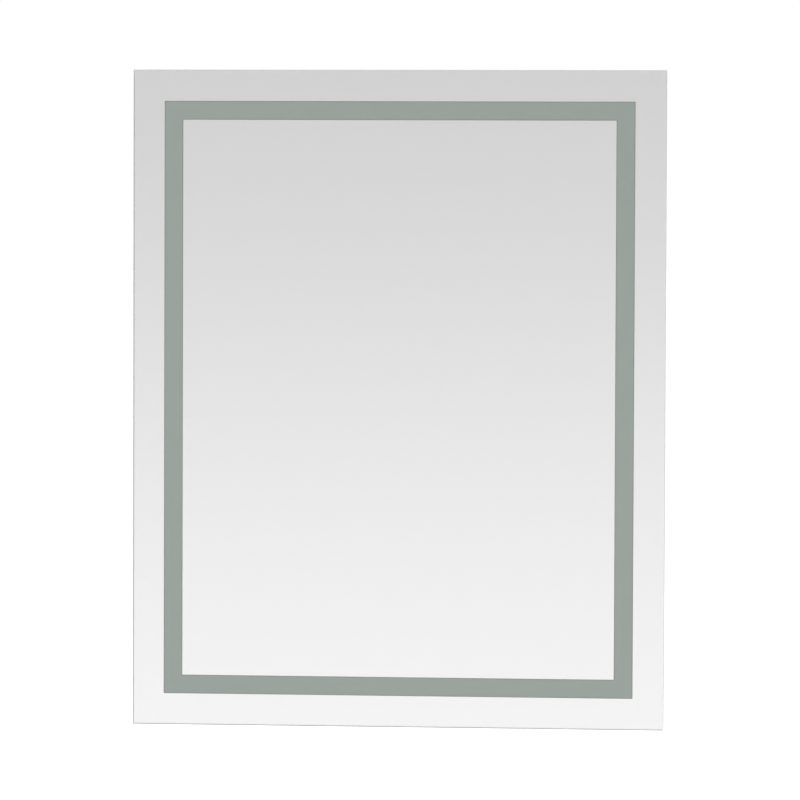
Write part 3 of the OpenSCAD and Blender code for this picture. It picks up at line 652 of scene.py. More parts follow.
def slab(low: np.ndarray, high: np.ndarray, corner: float, edge: np.ndarray) -> np.ndarray:
    """Carries an edge section round an upright rectangle with round corners.

    Args:
        low: Lowest corner of the rectangle's box.
        high: Its highest corner.
        corner: Radius of its corners, larger than any inset.
        edge: The section as rows of inset from the rectangle and y.

    Returns:
        One outline for each row of the section.
    """
    centre, half = middle_and_half(low, high)
    outlines = [rounded(SQUARE * (half - depth), corner - depth, steps=6) for depth, _ in edge]
    return np.array([upright(outline, y, centre) for outline, (_, y) in zip(outlines, edge, strict=True)])


def turned(profile: Sequence, centre: Sequence[float], steps: int) -> Patch:
    """Turns a profile about an axis along Y.

    Args:
        profile: Rows of radius and y.
        centre: X and Z of the axis.
        steps: Steps in the full turn.

    Returns:
        The patch, x and z being the radius times the cosine and the sine of the turn.
    """
    way = circle(steps)
    return grid_patch(np.array([upright(radius * way, y, centre) for radius, y in profile]), wrap=True)


def sheet_patch(
    xs: np.ndarray, zs: np.ndarray, top: np.ndarray, under: np.ndarray, kept: np.ndarray
) -> Patch:
    """Makes a sheet between two height fields over a grid of lines, with walls at its borders.

    A wall stands on each stretch of grid line that has a kept cell on one side only.

    Args:
        xs: X of the lines that run up.
        zs: Z of the lines that run across.
        top: Y of the upper face at each crossing.
        under: Y of the lower face at each crossing.
        kept: Which of the cells the sheet has.

    Returns:
        The patch.
    """
    x, z = np.meshgrid(xs, zs, indexing="ij")
    points = [np.stack([x, y, z], axis=-1).reshape(-1, 3) for y in (top, under)]
    number = np.arange(x.size).reshape(x.shape)
    cells = cells_of(number)[kept]
    framed = np.pad(kept, 1)
    upwards = np.stack([number[:, :-1], number[:, 1:]], axis=-1)[framed[1:, 1:-1] != framed[:-1, 1:-1]]
    across = np.stack([number[:-1], number[1:]], axis=-1)[framed[1:-1, 1:] != framed[1:-1, :-1]]
    edges = np.vstack([upwards, across])
    walls = np.hstack([edges, edges[:, ::-1] + x.size])
    return Patch(np.vstack(points), np.vstack([cells, cells + x.size, walls]))


def lay_mesh(name: str, patches: Sequence[Patch]) -> bpy.types.Mesh:
    """Puts patches into one mesh, welds their shared borders and turns its faces outwards.

    Args:
        name: The mesh's name.
        patches: The stretches of surface, which together close.

    Returns:
        The mesh, smooth but for its sharp edges.
    """
    starts = np.cumsum([0] + [len(patch.points) for patch in patches])
    corners = [patch.faces + start for patch, start in zip(patches, starts, strict=False)]
    sizes = np.concatenate([np.full(len(patch.faces), patch.faces.shape[1]) for patch in patches])
    finishes = np.concatenate([np.full(len(patch.faces), patch.finish) for patch in patches])
    mesh = bpy.data.meshes.new(name)
    mesh.vertices.add(int(starts[-1]))
    mesh.vertices.foreach_set("co", (np.vstack([patch.points for patch in patches]) * MM).ravel())
    mesh.loops.add(int(sizes.sum()))
    mesh.loops.foreach_set("vertex_index", np.concatenate([c.ravel() for c in corners]).astype(np.int32))
    mesh.polygons.add(len(sizes))
    mesh.polygons.foreach_set("loop_start", (np.cumsum(sizes) - sizes).astype(np.int32))
    mesh.polygons.foreach_set("material_index", finishes.astype(np.int32))
    mesh.update(calc_edges=True)
    work = bmesh.new()
    work.from_mesh(mesh)
    bmesh.ops.remove_doubles(work, verts=work.verts, dist=WELD * MM)
    loose = [vert for vert in work.verts if not vert.link_faces]
    bmesh.ops.delete(work, geom=loose, context="VERTS")
    bmesh.ops.recalc_face_normals(work, faces=work.faces)
    work.to_mesh(mesh)
    work.free()
    mesh.shade_smooth()
    mesh.set_sharp_from_angle(angle=math.radians(SHARP))
    return mesh


def new_object(name: str, data: bpy.types.ID) -> bpy.types.Object:
    """Adds an object to the scene."""
    thing = bpy.data.objects.new(name, data)
    bpy.context.scene.collection.objects.link(thing)
    return thing


def add_piece(
    name: str, patches: Sequence[Patch], finishes: Sequence[Finish], body: str, *nodes: str
) -> bpy.types.Object:
    """Makes a piece that rides on a body and stands for CAD nodes.

    Args:
        name: The piece's name.
        patches: Its surface.
        finishes: Its finishes, in the order that the patches number them.
        body: The CAD body that it moves with.
        nodes: The CAD nodes that it replaces.

    Returns:
        The piece.
    """
    piece = new_object(name, lay_mesh(name, patches))
    for finish in finishes:
        piece.data.materials.append(material_of(finish))
    shading = piece.modifiers.new("even_shading", "WEIGHTED_NORMAL")
    shading.keep_sharp = True
    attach(piece, body)
    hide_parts(*nodes)
    LOG.info("%s: %d faces, for %s", name, len(piece.data.polygons), ", ".join(nodes))
    return piece


# ---- What the frame gives ----


def box_of(node: str) -> tuple[np.ndarray, np.ndarray]:
    """Lowest and highest corner of a CAD node in millimetres."""
    low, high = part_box(node)
    return np.array(low) / MM, np.array(high) / MM


def solids_of(node: str) -> list[tuple[np.ndarray, np.ndarray]]:
    """Finds the separate solids of a CAD node.

    Points at one place share a number. Each triangle then gives its lowest number to its
    corners, again and again, until every solid has one number throughout.

    Args:
        node: The node's name.

    Returns:
        The lowest and highest corner of each solid in millimetres.
    """
    mesh = frame["nodes"][node].data
    mesh.calc_loop_triangles()
    places = np.empty(len(mesh.vertices) * 3, np.float32)
    mesh.vertices.foreach_get("co", places)
    places = places.reshape(-1, 3).astype(float) / MM
    corners = np.empty(len(mesh.loop_triangles) * 3, np.int32)
    mesh.loop_triangles.foreach_get("vertices", corners)
    _, shared = np.unique(np.round(places, 2), axis=0, return_inverse=True)
    shared = shared.ravel()
    triangles = shared[corners.reshape(-1, 3)]
    numbers, before = np.arange(shared.max() + 1), None
    while before is None or (numbers != before).any():
        before = numbers.copy()
        np.minimum.at(numbers, triangles, numbers[triangles].min(axis=1)[:, None])
        numbers = numbers[numbers]
    of_point = numbers[shared]
    parts = [places[of_point == number] for number in np.unique(of_point)]
    return [(part.min(axis=0), part.max(axis=0)) for part in parts]


def dress_nodes() -> None:
    """Gives every CAD node the finish of its slot in the record."""
    for part in frame["record"]["subparts"]:
        node = frame["nodes"][part["node"]]
        node.data.materials.clear()
        node.data.materials.append(material_of(FINISHES[part["material_slot"]]))


# ---- The glass ----


@dataclass
class MirrorGlass:
    """The pane over its silver films, frosted band and backing paint.

    Attributes:
        arris: Width of the ground bevel on each edge of the pane.
        corner: Radius of the pane's corners at its edge.
        ease: Radius where the bevel meets the faces.
        film_gap: Air between the pane and its films, so that no two faces share a plane.
    """

    arris: float = 0.6
    corner: float = 0.9
    ease: float = 0.12
    film_gap: float = 0.02

    def build(self) -> None:
        """Makes the pane: an edge section with two bevels, carried round, and two clear faces."""
        low, high = box_of("mirror_pane")
        room, back, deep = low[1], high[1] - self.film_gap, self.arris + self.ease
        path = [(deep, room), (self.arris, room), (0.0, room + self.arris)]
        path += [(0.0, back - self.arris), (self.arris, back), (deep, back)]
        edge = rounded_path(path, self.ease, steps=2)
        rings = slab(low, high, self.corner, edge)
        patches = [grid_patch(rings, wrap=True, finish=1), flat_patch(rings[0]), flat_patch(rings[-1])]
        pane = add_piece("glass_pane", patches, (CLEAR_GLASS, GROUND_GLASS), MIRROR, "mirror_pane")
        # Lamps light the band through the pane, as they do through real glass.
        pane.visible_shadow = False
        pane.visible_diffuse = False


# ---- Screws ----


@dataclass
class PanScrews:
    """Pan-head screws with a cross recess, driven towards the room from the wall side.

    Attributes:
        node: The CAD node that holds them.
        shaft: Radius of the thread.
        head: Height of the head.
        pitch: Distance from thread to thread.
        thread: Depth of the thread as a share of the shaft's radius.
        rows: Rows of points to each turn of the thread.
        sides: Points in each of those rows.
        point: Length of the tapered end, and the share of the radius that is left at its tip.
        neck: Distance from the last row to the head.
        crown: Radius of the head's crown as a share of the head's radius.
        cross: Reach and half width of the recess's arms, as shares of the head's radius.
        soft: Width of the recess's sloping walls, as the same share.
        lines: Grid lines along an arm, and from its end to the head's border.
        recess: Depth of the recess as a share of the head's height.
        rim: Height of the head's straight side.
        seat: Outer and inner radius of the head's underside as shares of the head's radius.
        turn: How far each screw is turned further than the one before, in degrees.
    """

    node: str
    shaft: float
    head: float
    pitch: float = 0.9
    thread: float = 0.22
    rows: int = 4
    sides: int = 12
    point: tuple[float, float] = (0.8, 0.75)
    neck: float = 0.02
    crown: float = 2.2
    cross: tuple[float, float] = (0.6, 0.13)
    soft: float = 0.05
    lines: tuple[int, int] = (3, 4)
    recess: float = 0.62
    rim: float = 0.15
    seat: tuple[float, float] = (0.97, 0.388)
    turn: float = 137.5

    def head_rows(self, radius: float) -> tuple[np.ndarray, np.ndarray]:
        """Works out the head: a grid on a square, drawn out to the head's disc.

        A point (u, v) of the square goes to (u sqrt(1 - v^2 / 2), v sqrt(1 - u^2 / 2)). The
        crown is part of a sphere. The recess is a cross of two slots that get shallower
        outwards, as the root of the distance to their ends.

        Args:
            radius: The head's radius.

        Returns:
            The points of the top, as a grid, and of its round border, both as x, height
            over the head's seat, and z.
        """
        (arm, slot), soft = self.cross, self.soft
        along = np.linspace(slot + soft, arm - soft, self.lines[0])
        half = np.concatenate([[0, slot], along, np.linspace(arm, 1, self.lines[1])])
        line = np.concatenate([-half[:0:-1], half])
        u, v = np.meshgrid(line, line, indexing="ij")
        x, z = radius * u * np.sqrt(1 - v**2 / 2), radius * v * np.sqrt(1 - u**2 / 2)
        crown = self.crown * radius
        dome = np.sqrt(crown**2 - x**2 - z**2) - crown
        arms = []
        for a, b in ((u, v), (v, u)):
            across = np.clip((slot + soft - np.abs(b)) / soft, 0, 1)
            arms.append(across * np.clip((arm - np.abs(a)) / (arm - slot), 0, 1))
        depth = self.recess * self.head * np.sqrt(np.maximum(*arms))
        top = np.stack([x, self.head + dome - depth, z], axis=-1)
        border = np.vstack([top[:-1, 0], top[-1, :-1], top[:0:-1, -1], top[0, :0:-1]])
        return top, border

    def shaft_rows(self, length: float) -> np.ndarray:
        """Works out the thread: the radius follows a sharp wave of height and turn.

        Args:
            length: Length of the shaft.

        Returns:
            A grid of heights by turns, as x, height and z.
        """
        turn = np.linspace(0, 2 * math.pi, self.sides, endpoint=False)
        heights = np.linspace(-length, -self.neck, int(self.rows * length / self.pitch))
        height, angle = np.meshgrid(heights, turn, indexing="ij")
        phase = (height / self.pitch - angle / (2 * math.pi)) % 1
        tapered, left = self.point
        taper = np.interp(height + length, [0, tapered], [left, 1])
        radius = self.shaft * taper * (1 - self.thread * np.abs(2 * phase - 1))
        return np.stack([radius * np.cos(angle), height, radius * np.sin(angle)], axis=-1)

    def patches(self, low: np.ndarray, high: np.ndarray, turn: float) -> list[Patch]:
        """Works out one screw in its place.

        Args:
            low: Lowest corner of the CAD solid.
            high: Its highest corner.
            turn: How far the cross is turned, in radians.

        Returns:
            The screw's surface.
        """
        (x, z), half = middle_and_half(low, high)
        level = high[1] - self.head
        top, border = self.head_rows(half[0])
        under = np.stack([border * (share, 0.0, share) for share in self.seat])
        side = np.stack([border, border * (1, 0, 1) + (0.0, self.rim, 0.0), under[0]])
        shaft = self.shaft_rows(level - low[1])
        grids = [grid_patch(top)] + [grid_patch(rows, wrap=True) for rows in (side, under, shaft)]
        grids += [flat_patch(outline) for outline in (under[1], shaft[0], shaft[-1])]
        cosine, sine = math.cos(turn), math.sin(turn)
        spin = np.array([(cosine, 0, sine), (0, 1, 0), (-sine, 0, cosine)])
        return [Patch(patch.points @ spin + (x, level, z), patch.faces) for patch in grids]

    def build(self) -> None:
        """Makes every screw of the node as one piece."""
        patches = []
        for i, (low, high) in enumerate(solids_of(self.node)):
            patches += self.patches(low, high, math.radians(i * self.turn))
        add_piece(f"{self.node}_turned", patches, (ZINC_PLATE,), MIRROR, self.node)


# ---- Turned pieces ----


@dataclass
class TurnedPieces:
    """The solids of one node, each turned about its own axis along Y.

    Attributes:
        node: The CAD node.
        name: Name of the piece that replaces it.
        finish: Its finish.
        steps: Steps in a full turn.
    """

    node: str
    name: str
    finish: Finish
    steps: int = 48

    def profile(self, radius: float, base: float, top: float) -> np.ndarray:
        """Works out the profile of one solid.

        Args:
            radius: The solid's largest radius.
            base: Y of its end towards the room.
            top: Y of its end towards the wall.

        Returns:
            Rows of radius and y.
        """
        raise NotImplementedError

    def build(self) -> None:
        """Turns every solid of the node into one piece."""
        patches = []
        for low, high in solids_of(self.node):
            centre, half = middle_and_half(low, high)
            patches.append(turned(self.profile(half[0], low[1], high[1]), centre, self.steps))
        add_piece(self.name, patches, (self.finish,), MIRROR, self.node)


@dataclass
class WallBumpers(TurnedPieces):
    """Bumpers: a straight foot, a cone, and a shallow dish in the face on the wall.

    Attributes:
        foot: Height of the foot.
        draft: How much less the face's radius is than the foot's.
        dish: Radii of the dish at the face and at its floor.
        dish_depth: Depth of the dish.
        eases: Radius at each corner of the profile, from the axis back to the axis.
    """

    foot: float = 2.0
    draft: float = 1.8
    dish: tuple[float, float] = (5.0, 4.0)
    dish_depth: float = 0.8
    eases: tuple[float, ...] = (1.0, 0.15, 0.8, 0.7, 0.4, 0.3, 1.0)

    def profile(self, radius: float, base: float, top: float) -> np.ndarray:
        """Rounds the corners of the stepped cone."""
        (mouth, well), floor = self.dish, top - self.dish_depth
        path = [(0.0, base), (radius, base), (radius, base + self.foot), (radius - self.draft, top)]
        path += [(mouth, top), (well, floor), (0.0, floor)]
        return rounded_path(path, self.eases)


@dataclass
class BlindRivets(TurnedPieces):
    """Blind rivets: a domed head with the broken mandrel in it, a shank and the set end.

    Attributes:
        head: Height of the head, whose radius is twice the shank's.
        dome: Points of the dome as a share of the head's radius and a drop from its top.
        set_end: Length of the set end, and how far it stands out from the shank.
        eases: Radius at each corner of the profile, from the axis back to the axis.
    """

    head: float = 1.3
    dome: tuple[tuple[float, float], ...] = ((0.0, 0.5), (0.22, 0.6), (0.26, 0.0), (0.7, 0.3), (1.0, 1.0))
    set_end: tuple[float, float] = (2.5, 0.9)
    eases: tuple[float, ...] = (1.0, 0.1, 0.12, 1.6, 0.15, 0.05, 0.1, 0.1, 0.4, 0.6, 1.0)

    def profile(self, radius: float, base: float, top: float) -> np.ndarray:
        """Rounds the corners of head, shank and set end."""
        seat, shank, upset = top - self.head, radius / 2, base + self.set_end[0]
        bulge = shank + self.set_end[1]
        path = [(radius * share, top - drop) for share, drop in self.dome]
        path += [(radius, seat), (shank, seat), (shank, upset), (bulge, upset), (bulge, base), (0.0, base)]
        return rounded_path(path, self.eases)


@dataclass
class CableBushing(TurnedPieces):
    """Snap bushing: an open sleeve with a tapered end and a round flange.

    Attributes:
        wall: Thickness of the sleeve.
        flange: How far the flange stands out from the sleeve, and its thickness.
        taper: Length of the tapered end, and how much less its radius is there.
        eases: Radius at each corner of the profile.
    """

    wall: float = 3.0
    flange: tuple[float, float] = (2.2, 1.5)
    taper: tuple[float, float] = (2.0, 0.6)
    eases: tuple[float, ...] = (0.3, 0.3, 0.5, 0.1, 0.4, 0.6, 0.7)

    def profile(self, radius: float, base: float, top: float) -> np.ndarray:
        """Rounds the corners of sleeve and flange, and returns to the first point."""
        sleeve, seat = radius - self.flange[0], top - self.flange[1]
        bore, tapered = sleeve - self.wall, (sleeve - self.taper[1], base)
        path = [(bore, base), tapered, (sleeve, base + self.taper[0]), (sleeve, seat), (radius, seat)]
        path += [(radius, top), (bore, top)]
        outline = rounded(path, self.eases)
        return np.vstack([outline, outline[:1]])


# ---- The housing ----


class Side(Enum):
    """A side of the housing by its outward way in X and Z."""

    TOP = (0.0, 1.0)
    RIGHT = (1.0, 0.0)
    BOTTOM = (0.0, -1.0)
    LEFT = (-1.0, 0.0)


@dataclass
class Housing:
    """Four mitred aluminium members and the pressed rear cover, with rubber bumpers.

    Attributes:
        wall: Thickness of the section's walls.
        depth: Width of the tube in the section.
        channel: Distances from the front face to the LED channel's two lips.
        lip: Thickness and height of those lips.
        seal: Distance from the rear edge down to the tube's rear face.
        ease: Radius of the section's outer edges.
        fillet: Radius of the channel's and the bore's corners.
        groove: Depth of the fine groove that shows at each mitre.
    """

    wall: float = 1.4
    depth: float = 15.0
    channel: tuple[float, float] = (4.0, 15.0)
    lip: tuple[float, float] = (0.8, 1.2)
    seal: float = 1.8
    ease: float = 0.5
    fillet: tuple[float, float] = (0.25, 0.6)
    groove: float = 0.12

    def section(self, front: float, back: float) -> tuple[np.ndarray, np.ndarray]:
        """Works out the section, as rows of y and depth below the outer face.

        Args:
            front: Y of its front face.
            back: Y of its rear edge.

        Returns:
            Its outline and the outline of its bore.
        """
        tube, web, crest = back - self.seal, self.depth, self.depth + self.lip[1]
        low, high = (front + at for at in self.channel)
        thick = self.lip[0]
        corners = [(front, 0), (back, 0), (back, self.wall), (tube, self.wall), (tube, web)]
        corners += [(high + thick, web), (high + thick, crest), (high, crest), (high, web)]
        corners += [(low, web), (low, crest), (low - thick, crest), (low - thick, web), (front, web)]
        radii = [self.ease] * 3 + [self.fillet[0], self.ease] + [self.fillet[0]] * 8 + [self.ease]
        bore = [(front, 0), (tube, 0), (tube, web), (front, web)] - SQUARE * self.wall
        return rounded(corners, radii, steps=3), rounded(bore, self.fillet[1], steps=3)

    def member(self, side: Side) -> None:
        """Makes one length of the section between its two mitre planes.

        A point at depth d lies d inside the outer face and ends d short of the corner.

        Args:
            side: The side of the housing.
        """
        low, high = box_of("frame_left")[0], box_of("frame_right")[1]
        centre, half = middle_and_half(low, high)
        out = np.array(side.value)
        run = np.array([out[1], -out[0]])
        reach, length = abs(out @ half), abs(run @ half)
        outline, bore = self.section(low[1], high[1])

        def station(profile: np.ndarray, end: int, short: float) -> np.ndarray:
            """Places a profile near one end, short of its mitre plane by some millimetres."""
            y, deep = profile.T
            plane = centre + out * (reach - deep)[:, None] + run * (end * (length - deep - short))[:, None]
            return np.stack([plane[:, 0], y, plane[:, 1]], axis=-1)

        rim, short = inset(outline, self.groove), self.groove
        skin = [station(rim, -1, 0.0), station(outline, -1, short), station(outline, 1, short)]
        skin += [station(rim, 1, 0.0)]
        core = [station(bore, -1, 0.0), station(bore, 1, 0.0)]
        patches = [grid_patch(np.array(skin), wrap=True), grid_patch(np.array(core), wrap=True)]
        patches += [ring_patch(skin[0], core[0]), ring_patch(skin[-1], core[-1])]
        node = f"frame_{side.name.lower()}"
        finish = ALUMINIUM_ACROSS if side in (Side.TOP, Side.BOTTOM) else ALUMINIUM_UPRIGHT
        add_piece(f"{node}_extrusion", patches, (finish,), MIRROR, node)

    def build(self) -> None:
        """Makes the members, the cover, its screws and the bumpers."""
        for side in Side:
            self.member(side)
        RearCover().build()
        PanScrews("rear_cover_screws", shaft=1.7, head=2.2).build()
        WallBumpers("wall_bumpers", "rubber_wall_bumpers", BLACK_RUBBER).build()


@dataclass
class RearCover:
    """The pressed steel cover: a flat sheet with three stiffening beads and one opening.

    Attributes:
        sheet: Its thickness.
        beads: X of each bead.
        bead_ends: Z of the lower and the upper end of their crests.
        crown: Radius of a bead's crown.
        rise: Height of a bead.
        shoulder: Radius between a bead and the sheet.
        opening: Lowest and highest corner of the opening in X and Z.
        ease: Radius of the sheet's edge.
        edge: Places of the grid lines across that radius, as shares of it.
        close: Distances of the close grid lines from a bead's middle line or end.
        wide: Distance between grid lines elsewhere.
        clear: Least distance from those to a close line.
    """

    sheet: float = 1.0
    beads: tuple[float, ...] = (-190.0, 0.0, 190.0)
    bead_ends: tuple[float, float] = (-640.0, -270.0)
    crown: float = 14.0
    rise: float = 3.0
    shoulder: float = 4.0
    opening: tuple[float, ...] = (-50.0, -195.0, 50.0, -125.0)
    ease: float = 0.4
    edge: tuple[float, ...] = (0.0, 0.15, 0.45, 1.0)
    close: tuple[float, ...] = (0.0, 2.0, 4.0, 5.5, 7.0, 7.8, 8.6, 9.4, 10.2, 11.2)
    wide: float = 30.0
    clear: float = 2.0

    def bead_height(self, distance: np.ndarray) -> np.ndarray:
        """Height of a bead at a distance from its middle line.

        The crown's centre lies its radius less the rise below the sheet, and the shoulder's
        centre its radius above it. The two arcs meet where their centres are both radii
        apart, which puts the foot of the shoulder at the root of the difference of squares.
        """
        below, both = self.crown - self.rise, self.crown + self.shoulder
        foot = math.sqrt(both**2 - (below + self.shoulder) ** 2)
        meet = foot * self.crown / both
        arch = np.sqrt(np.maximum(self.crown**2 - distance**2, 0)) - below
        sweep = self.shoulder - np.sqrt(np.maximum(self.shoulder**2 - (foot - distance) ** 2, 0))
        return np.select([distance < meet, distance < foot], [arch, sweep], 0.0)

    def lines(self, low: float, high: float, dense: Sequence[float], cuts: Sequence[float]) -> np.ndarray:
        """Spaces grid lines: close at the edges and round some places, wide elsewhere.

        Args:
            low: The first line.
            high: The last line.
            dense: Places with close lines on both sides.
            cuts: Places of single lines.

        Returns:
            The lines in order.
        """
        edge, close = self.ease * np.array(self.edge), np.array(self.close)
        near = np.add.outer(np.asarray(dense), np.concatenate([-close[1:], close])).ravel()
        wide = np.arange(math.ceil(low / self.wide), high / self.wide) * self.wide
        wide = wide[np.abs(np.subtract.outer(wide, dense)).min(axis=1) > close[-1] + self.clear]
        return np.unique(np.round(np.concatenate([low + edge, high - edge, near, wide, cuts]), 3))

    def build(self) -> None:
        """Makes the cover as a sheet between two height fields."""
        low, high = box_of("rear_cover")
        back = low[1] + self.sheet
        xs = self.lines(low[0], high[0], self.beads, self.opening[::2])
        zs = self.lines(low[2], high[2], self.bead_ends, self.opening[1::2])
        x, z = np.meshgrid(xs, zs, indexing="ij")
        aside = np.abs(np.subtract.outer(x, self.beads)).min(axis=-1)
        height = self.bead_height(np.hypot(aside, z - np.clip(z, *self.bead_ends)))
        border = np.minimum.reduce([x - low[0], high[0] - x, z - low[2], high[2] - z])
        over = np.clip(self.ease - border, 0, self.ease)
        edge = self.ease - np.sqrt(self.ease**2 - over**2)
        middle = [(line[:-1] + line[1:]) / 2 for line in (xs, zs)]
        spans = zip(middle, self.opening[:2], self.opening[2:], strict=True)
        inside = [(line > start) & (line < end) for line, start, end in spans]
        kept = ~np.logical_and.outer(*inside)
        cover = sheet_patch(xs, zs, back + height - edge, back + height - self.sheet + edge, kept)
        add_piece("pressed_rear_cover", [cover], (POWDER_COAT,), MIRROR, "rear_cover")


# ---- The hanging rails ----


@dataclass
class HangingRails:
    """The folded rail on the mirror and the one on the wall, whose hooks meet.

    Attributes:
        flats: The three flats of a rail, which end the names of its CAD nodes.
        bend: Inner radius of the bends.
        bend_steps: Steps of each rounding in the section.
        ease: Radius of the sheet's cut edges.
        rim: How far the ends' faces lie inside the section.
        hole: Radius of the round holes and of the slots' ends.
        tile: Half length of the stretch of flange round each hole.
        tile_steps: Steps along each side of that stretch.
    """

    flats: tuple[str, str, str] = ("flange", "shelf", "hook")
    bend: float = 0.8
    bend_steps: int = 5
    ease: float = 0.35
    rim: float = 0.25
    hole: float = 2.75
    tile: float = 11.0
    tile_steps: int = 8

    def nodes(self, rail: str) -> list[str]:
        """Names the CAD nodes of a rail's flange, shelf and hook."""
        return [f"{rail}_{flat}" for flat in self.flats]

    def section(self, rail: str, near: int) -> np.ndarray:
        """Works out a rail's section, which both rails share, turned by half a turn.

        Corners are rounded a little at cut edges, and to the sheet's bends where it folds.

        Args:
            rail: The rail's name.
            near: 0 if the flange has the lowest Y of the three flats, or 1 if the highest.

        Returns:
            Its outline as rows of y and z, from the outer bend between flange and shelf.
        """
        flange, shelf, hook = (np.array(box_of(node))[:, 1:] for node in self.nodes(rail))
        a, b = near, 1 - near
        corners = [(flange[a, 0], shelf[a, 1]), tuple(flange[[a, b], [0, 1]]), tuple(flange[b])]
        corners += [(flange[b, 0], shelf[b, 1]), (hook[b, 0], shelf[b, 1]), tuple(hook[[b, a], [0, 1]])]
        corners += [tuple(hook[a]), (hook[a, 0], shelf[a, 1])]
        outer = self.bend + np.ptp(shelf[:, 1])
        radii = [outer, self.ease, self.ease, self.bend, outer, self.ease, self.ease, self.bend]
        return rounded(corners, radii, self.bend_steps)

    def ends(self, section: np.ndarray, low: float, high: float) -> list[Patch]:
        """Closes a rail's two ends, with a small ease before each."""
        rim, patches = inset(section, self.rim), []
        for end, inwards in ((low, self.ease), (high, -self.ease)):
            rings = [crosswise(rim, end), crosswise(section, end + inwards)]
            patches += [flat_patch(rings[0]), grid_patch(np.array(rings), wrap=True)]
        return patches

    def mirror_rail(self) -> None:
        """Folds the rail on the mirror: a flange, a shelf and a hook that points down."""
        nodes = self.nodes("hanging_rail")
        low, high = box_of(nodes[0])
        section = self.section("hanging_rail", 0)
        skin = np.array([crosswise(section, x) for x in (low[0] + self.ease, high[0] - self.ease)])
        patches = [grid_patch(skin, wrap=True), *self.ends(section, low[0], high[0])]
        add_piece("folded_hanging_rail", patches, (ZINC_PLATE,), MIRROR, *nodes)

    def hole_rings(
        self, centre: float, run: float, span: tuple[float, float], faces: tuple[float, float]
    ) -> Patch:
        """Works out the stretch of flange round one hole, from one face through to the other.

        Each ring has one point for each step along the stretch's border. A ring's points
        lie between the hole's rim, a circle whose halves are drawn apart, and the border.

        Args:
            centre: X of the hole's middle.
            run: How far the two halves of the rim are drawn apart from the middle.
            span: Lowest and highest Z of the stretch.
            faces: Y of the wall side and of the room side.

        Returns:
            The patch.
        """
        n, half = self.tile_steps, (span[1] - span[0]) / 2
        line = np.linspace(-1, 1, n + 1)[:-1]
        side = np.full(n, 1.0)
        border = np.hstack([(line, -side), (side, line), (-line, side), (-side, -line)]).T
        border = border * (self.tile, half) + (centre, span[0] + half)
        # The border starts at its lowest corner, and so do the rings.
        way = circle(4 * n, -0.75 * math.pi)
        drawn = np.stack([np.sign(np.round(way[:, 0], 6)) * run + centre, np.zeros(4 * n)], axis=-1)
        rim, eased = drawn + way * self.hole, drawn + way * (self.hole + self.ease)
        between = (border + 2 * eased) / 3
        wall, room = faces
        step = math.copysign(self.ease, room - wall)
        rings = [(border, wall), (between, wall), (eased, wall), (rim, wall + step)]
        rings += [(rim, room - step), (eased, room), (between, room), (border, room)]
        return grid_patch(np.array([upright(ring, y) for ring, y in rings]), wrap=True)

    def wall_rail(self) -> None:
        """Folds the rail on the wall: a flange with its holes, a shelf and a hook that points up."""
        nodes = self.nodes("wall_rail")
        (low, high), shelf = box_of(nodes[0]), box_of(nodes[1])
        section = self.section("wall_rail", 1)
        # The first rounding is the bend over the flange, and the next two are the flange's edge.
        corner = self.bend_steps + 1
        bend, edge, folds = np.split(section, [corner, 3 * corner])
        folds = np.vstack([folds, bend])
        span, faces = (low[2] + self.ease, shelf[0][2] - self.bend), (high[1], low[1])
        heights = np.linspace(*span, self.tile_steps + 1)
        wall, room = (np.insert(heights[1:-1, None], 0, y, axis=1) for y in faces)
        mounts = {mount["name"]: mount["dims"] for mount in frame["record"]["mounts"]}
        holes = []
        for name in ("wall_fixings_outer", "wall_fixings_inner"):
            place = mounts[name]["spacing_x_mm"] / 2
            run = max(mounts[name].get("slot_length_mm", 0) / 2 - self.hole, 0.0)
            holes += [(-place, run), (place, run)]
        holes.sort()
        tiles = [np.linspace(x - self.tile, x + self.tile, self.tile_steps + 1) for x, _ in holes]
        stations = np.concatenate([[low[0] + self.ease], *tiles, [high[0] - self.ease]])
        patches = self.ends(np.vstack([edge, room, folds, wall[::-1]]), low[0], high[0])
        for part in (edge, folds):
            patches.append(grid_patch(np.array([crosswise(part, x) for x in stations])))
        patches += [self.hole_rings(x, run, span, faces) for x, run in holes]
        borders = np.concatenate([stations[:1], *(tile[[0, -1]] for tile in tiles), stations[-1:]])
        for pair in borders.reshape(-1, 2):
            plane = np.stack(np.meshgrid(pair, heights, indexing="ij"), axis=-1)
            patches += [grid_patch(upright(plane, y)) for y in faces]
        add_piece("folded_wall_rail", patches, (ZINC_PLATE,), WALL_BRACKET, *nodes)

    def build(self) -> None:
        """Makes both rails and the screws of the mirror's rail."""
        self.mirror_rail()
        self.wall_rail()
        PanScrews("hanging_rail_screws", shaft=1.95, head=2.6).build()


# ---- The wiring box ----


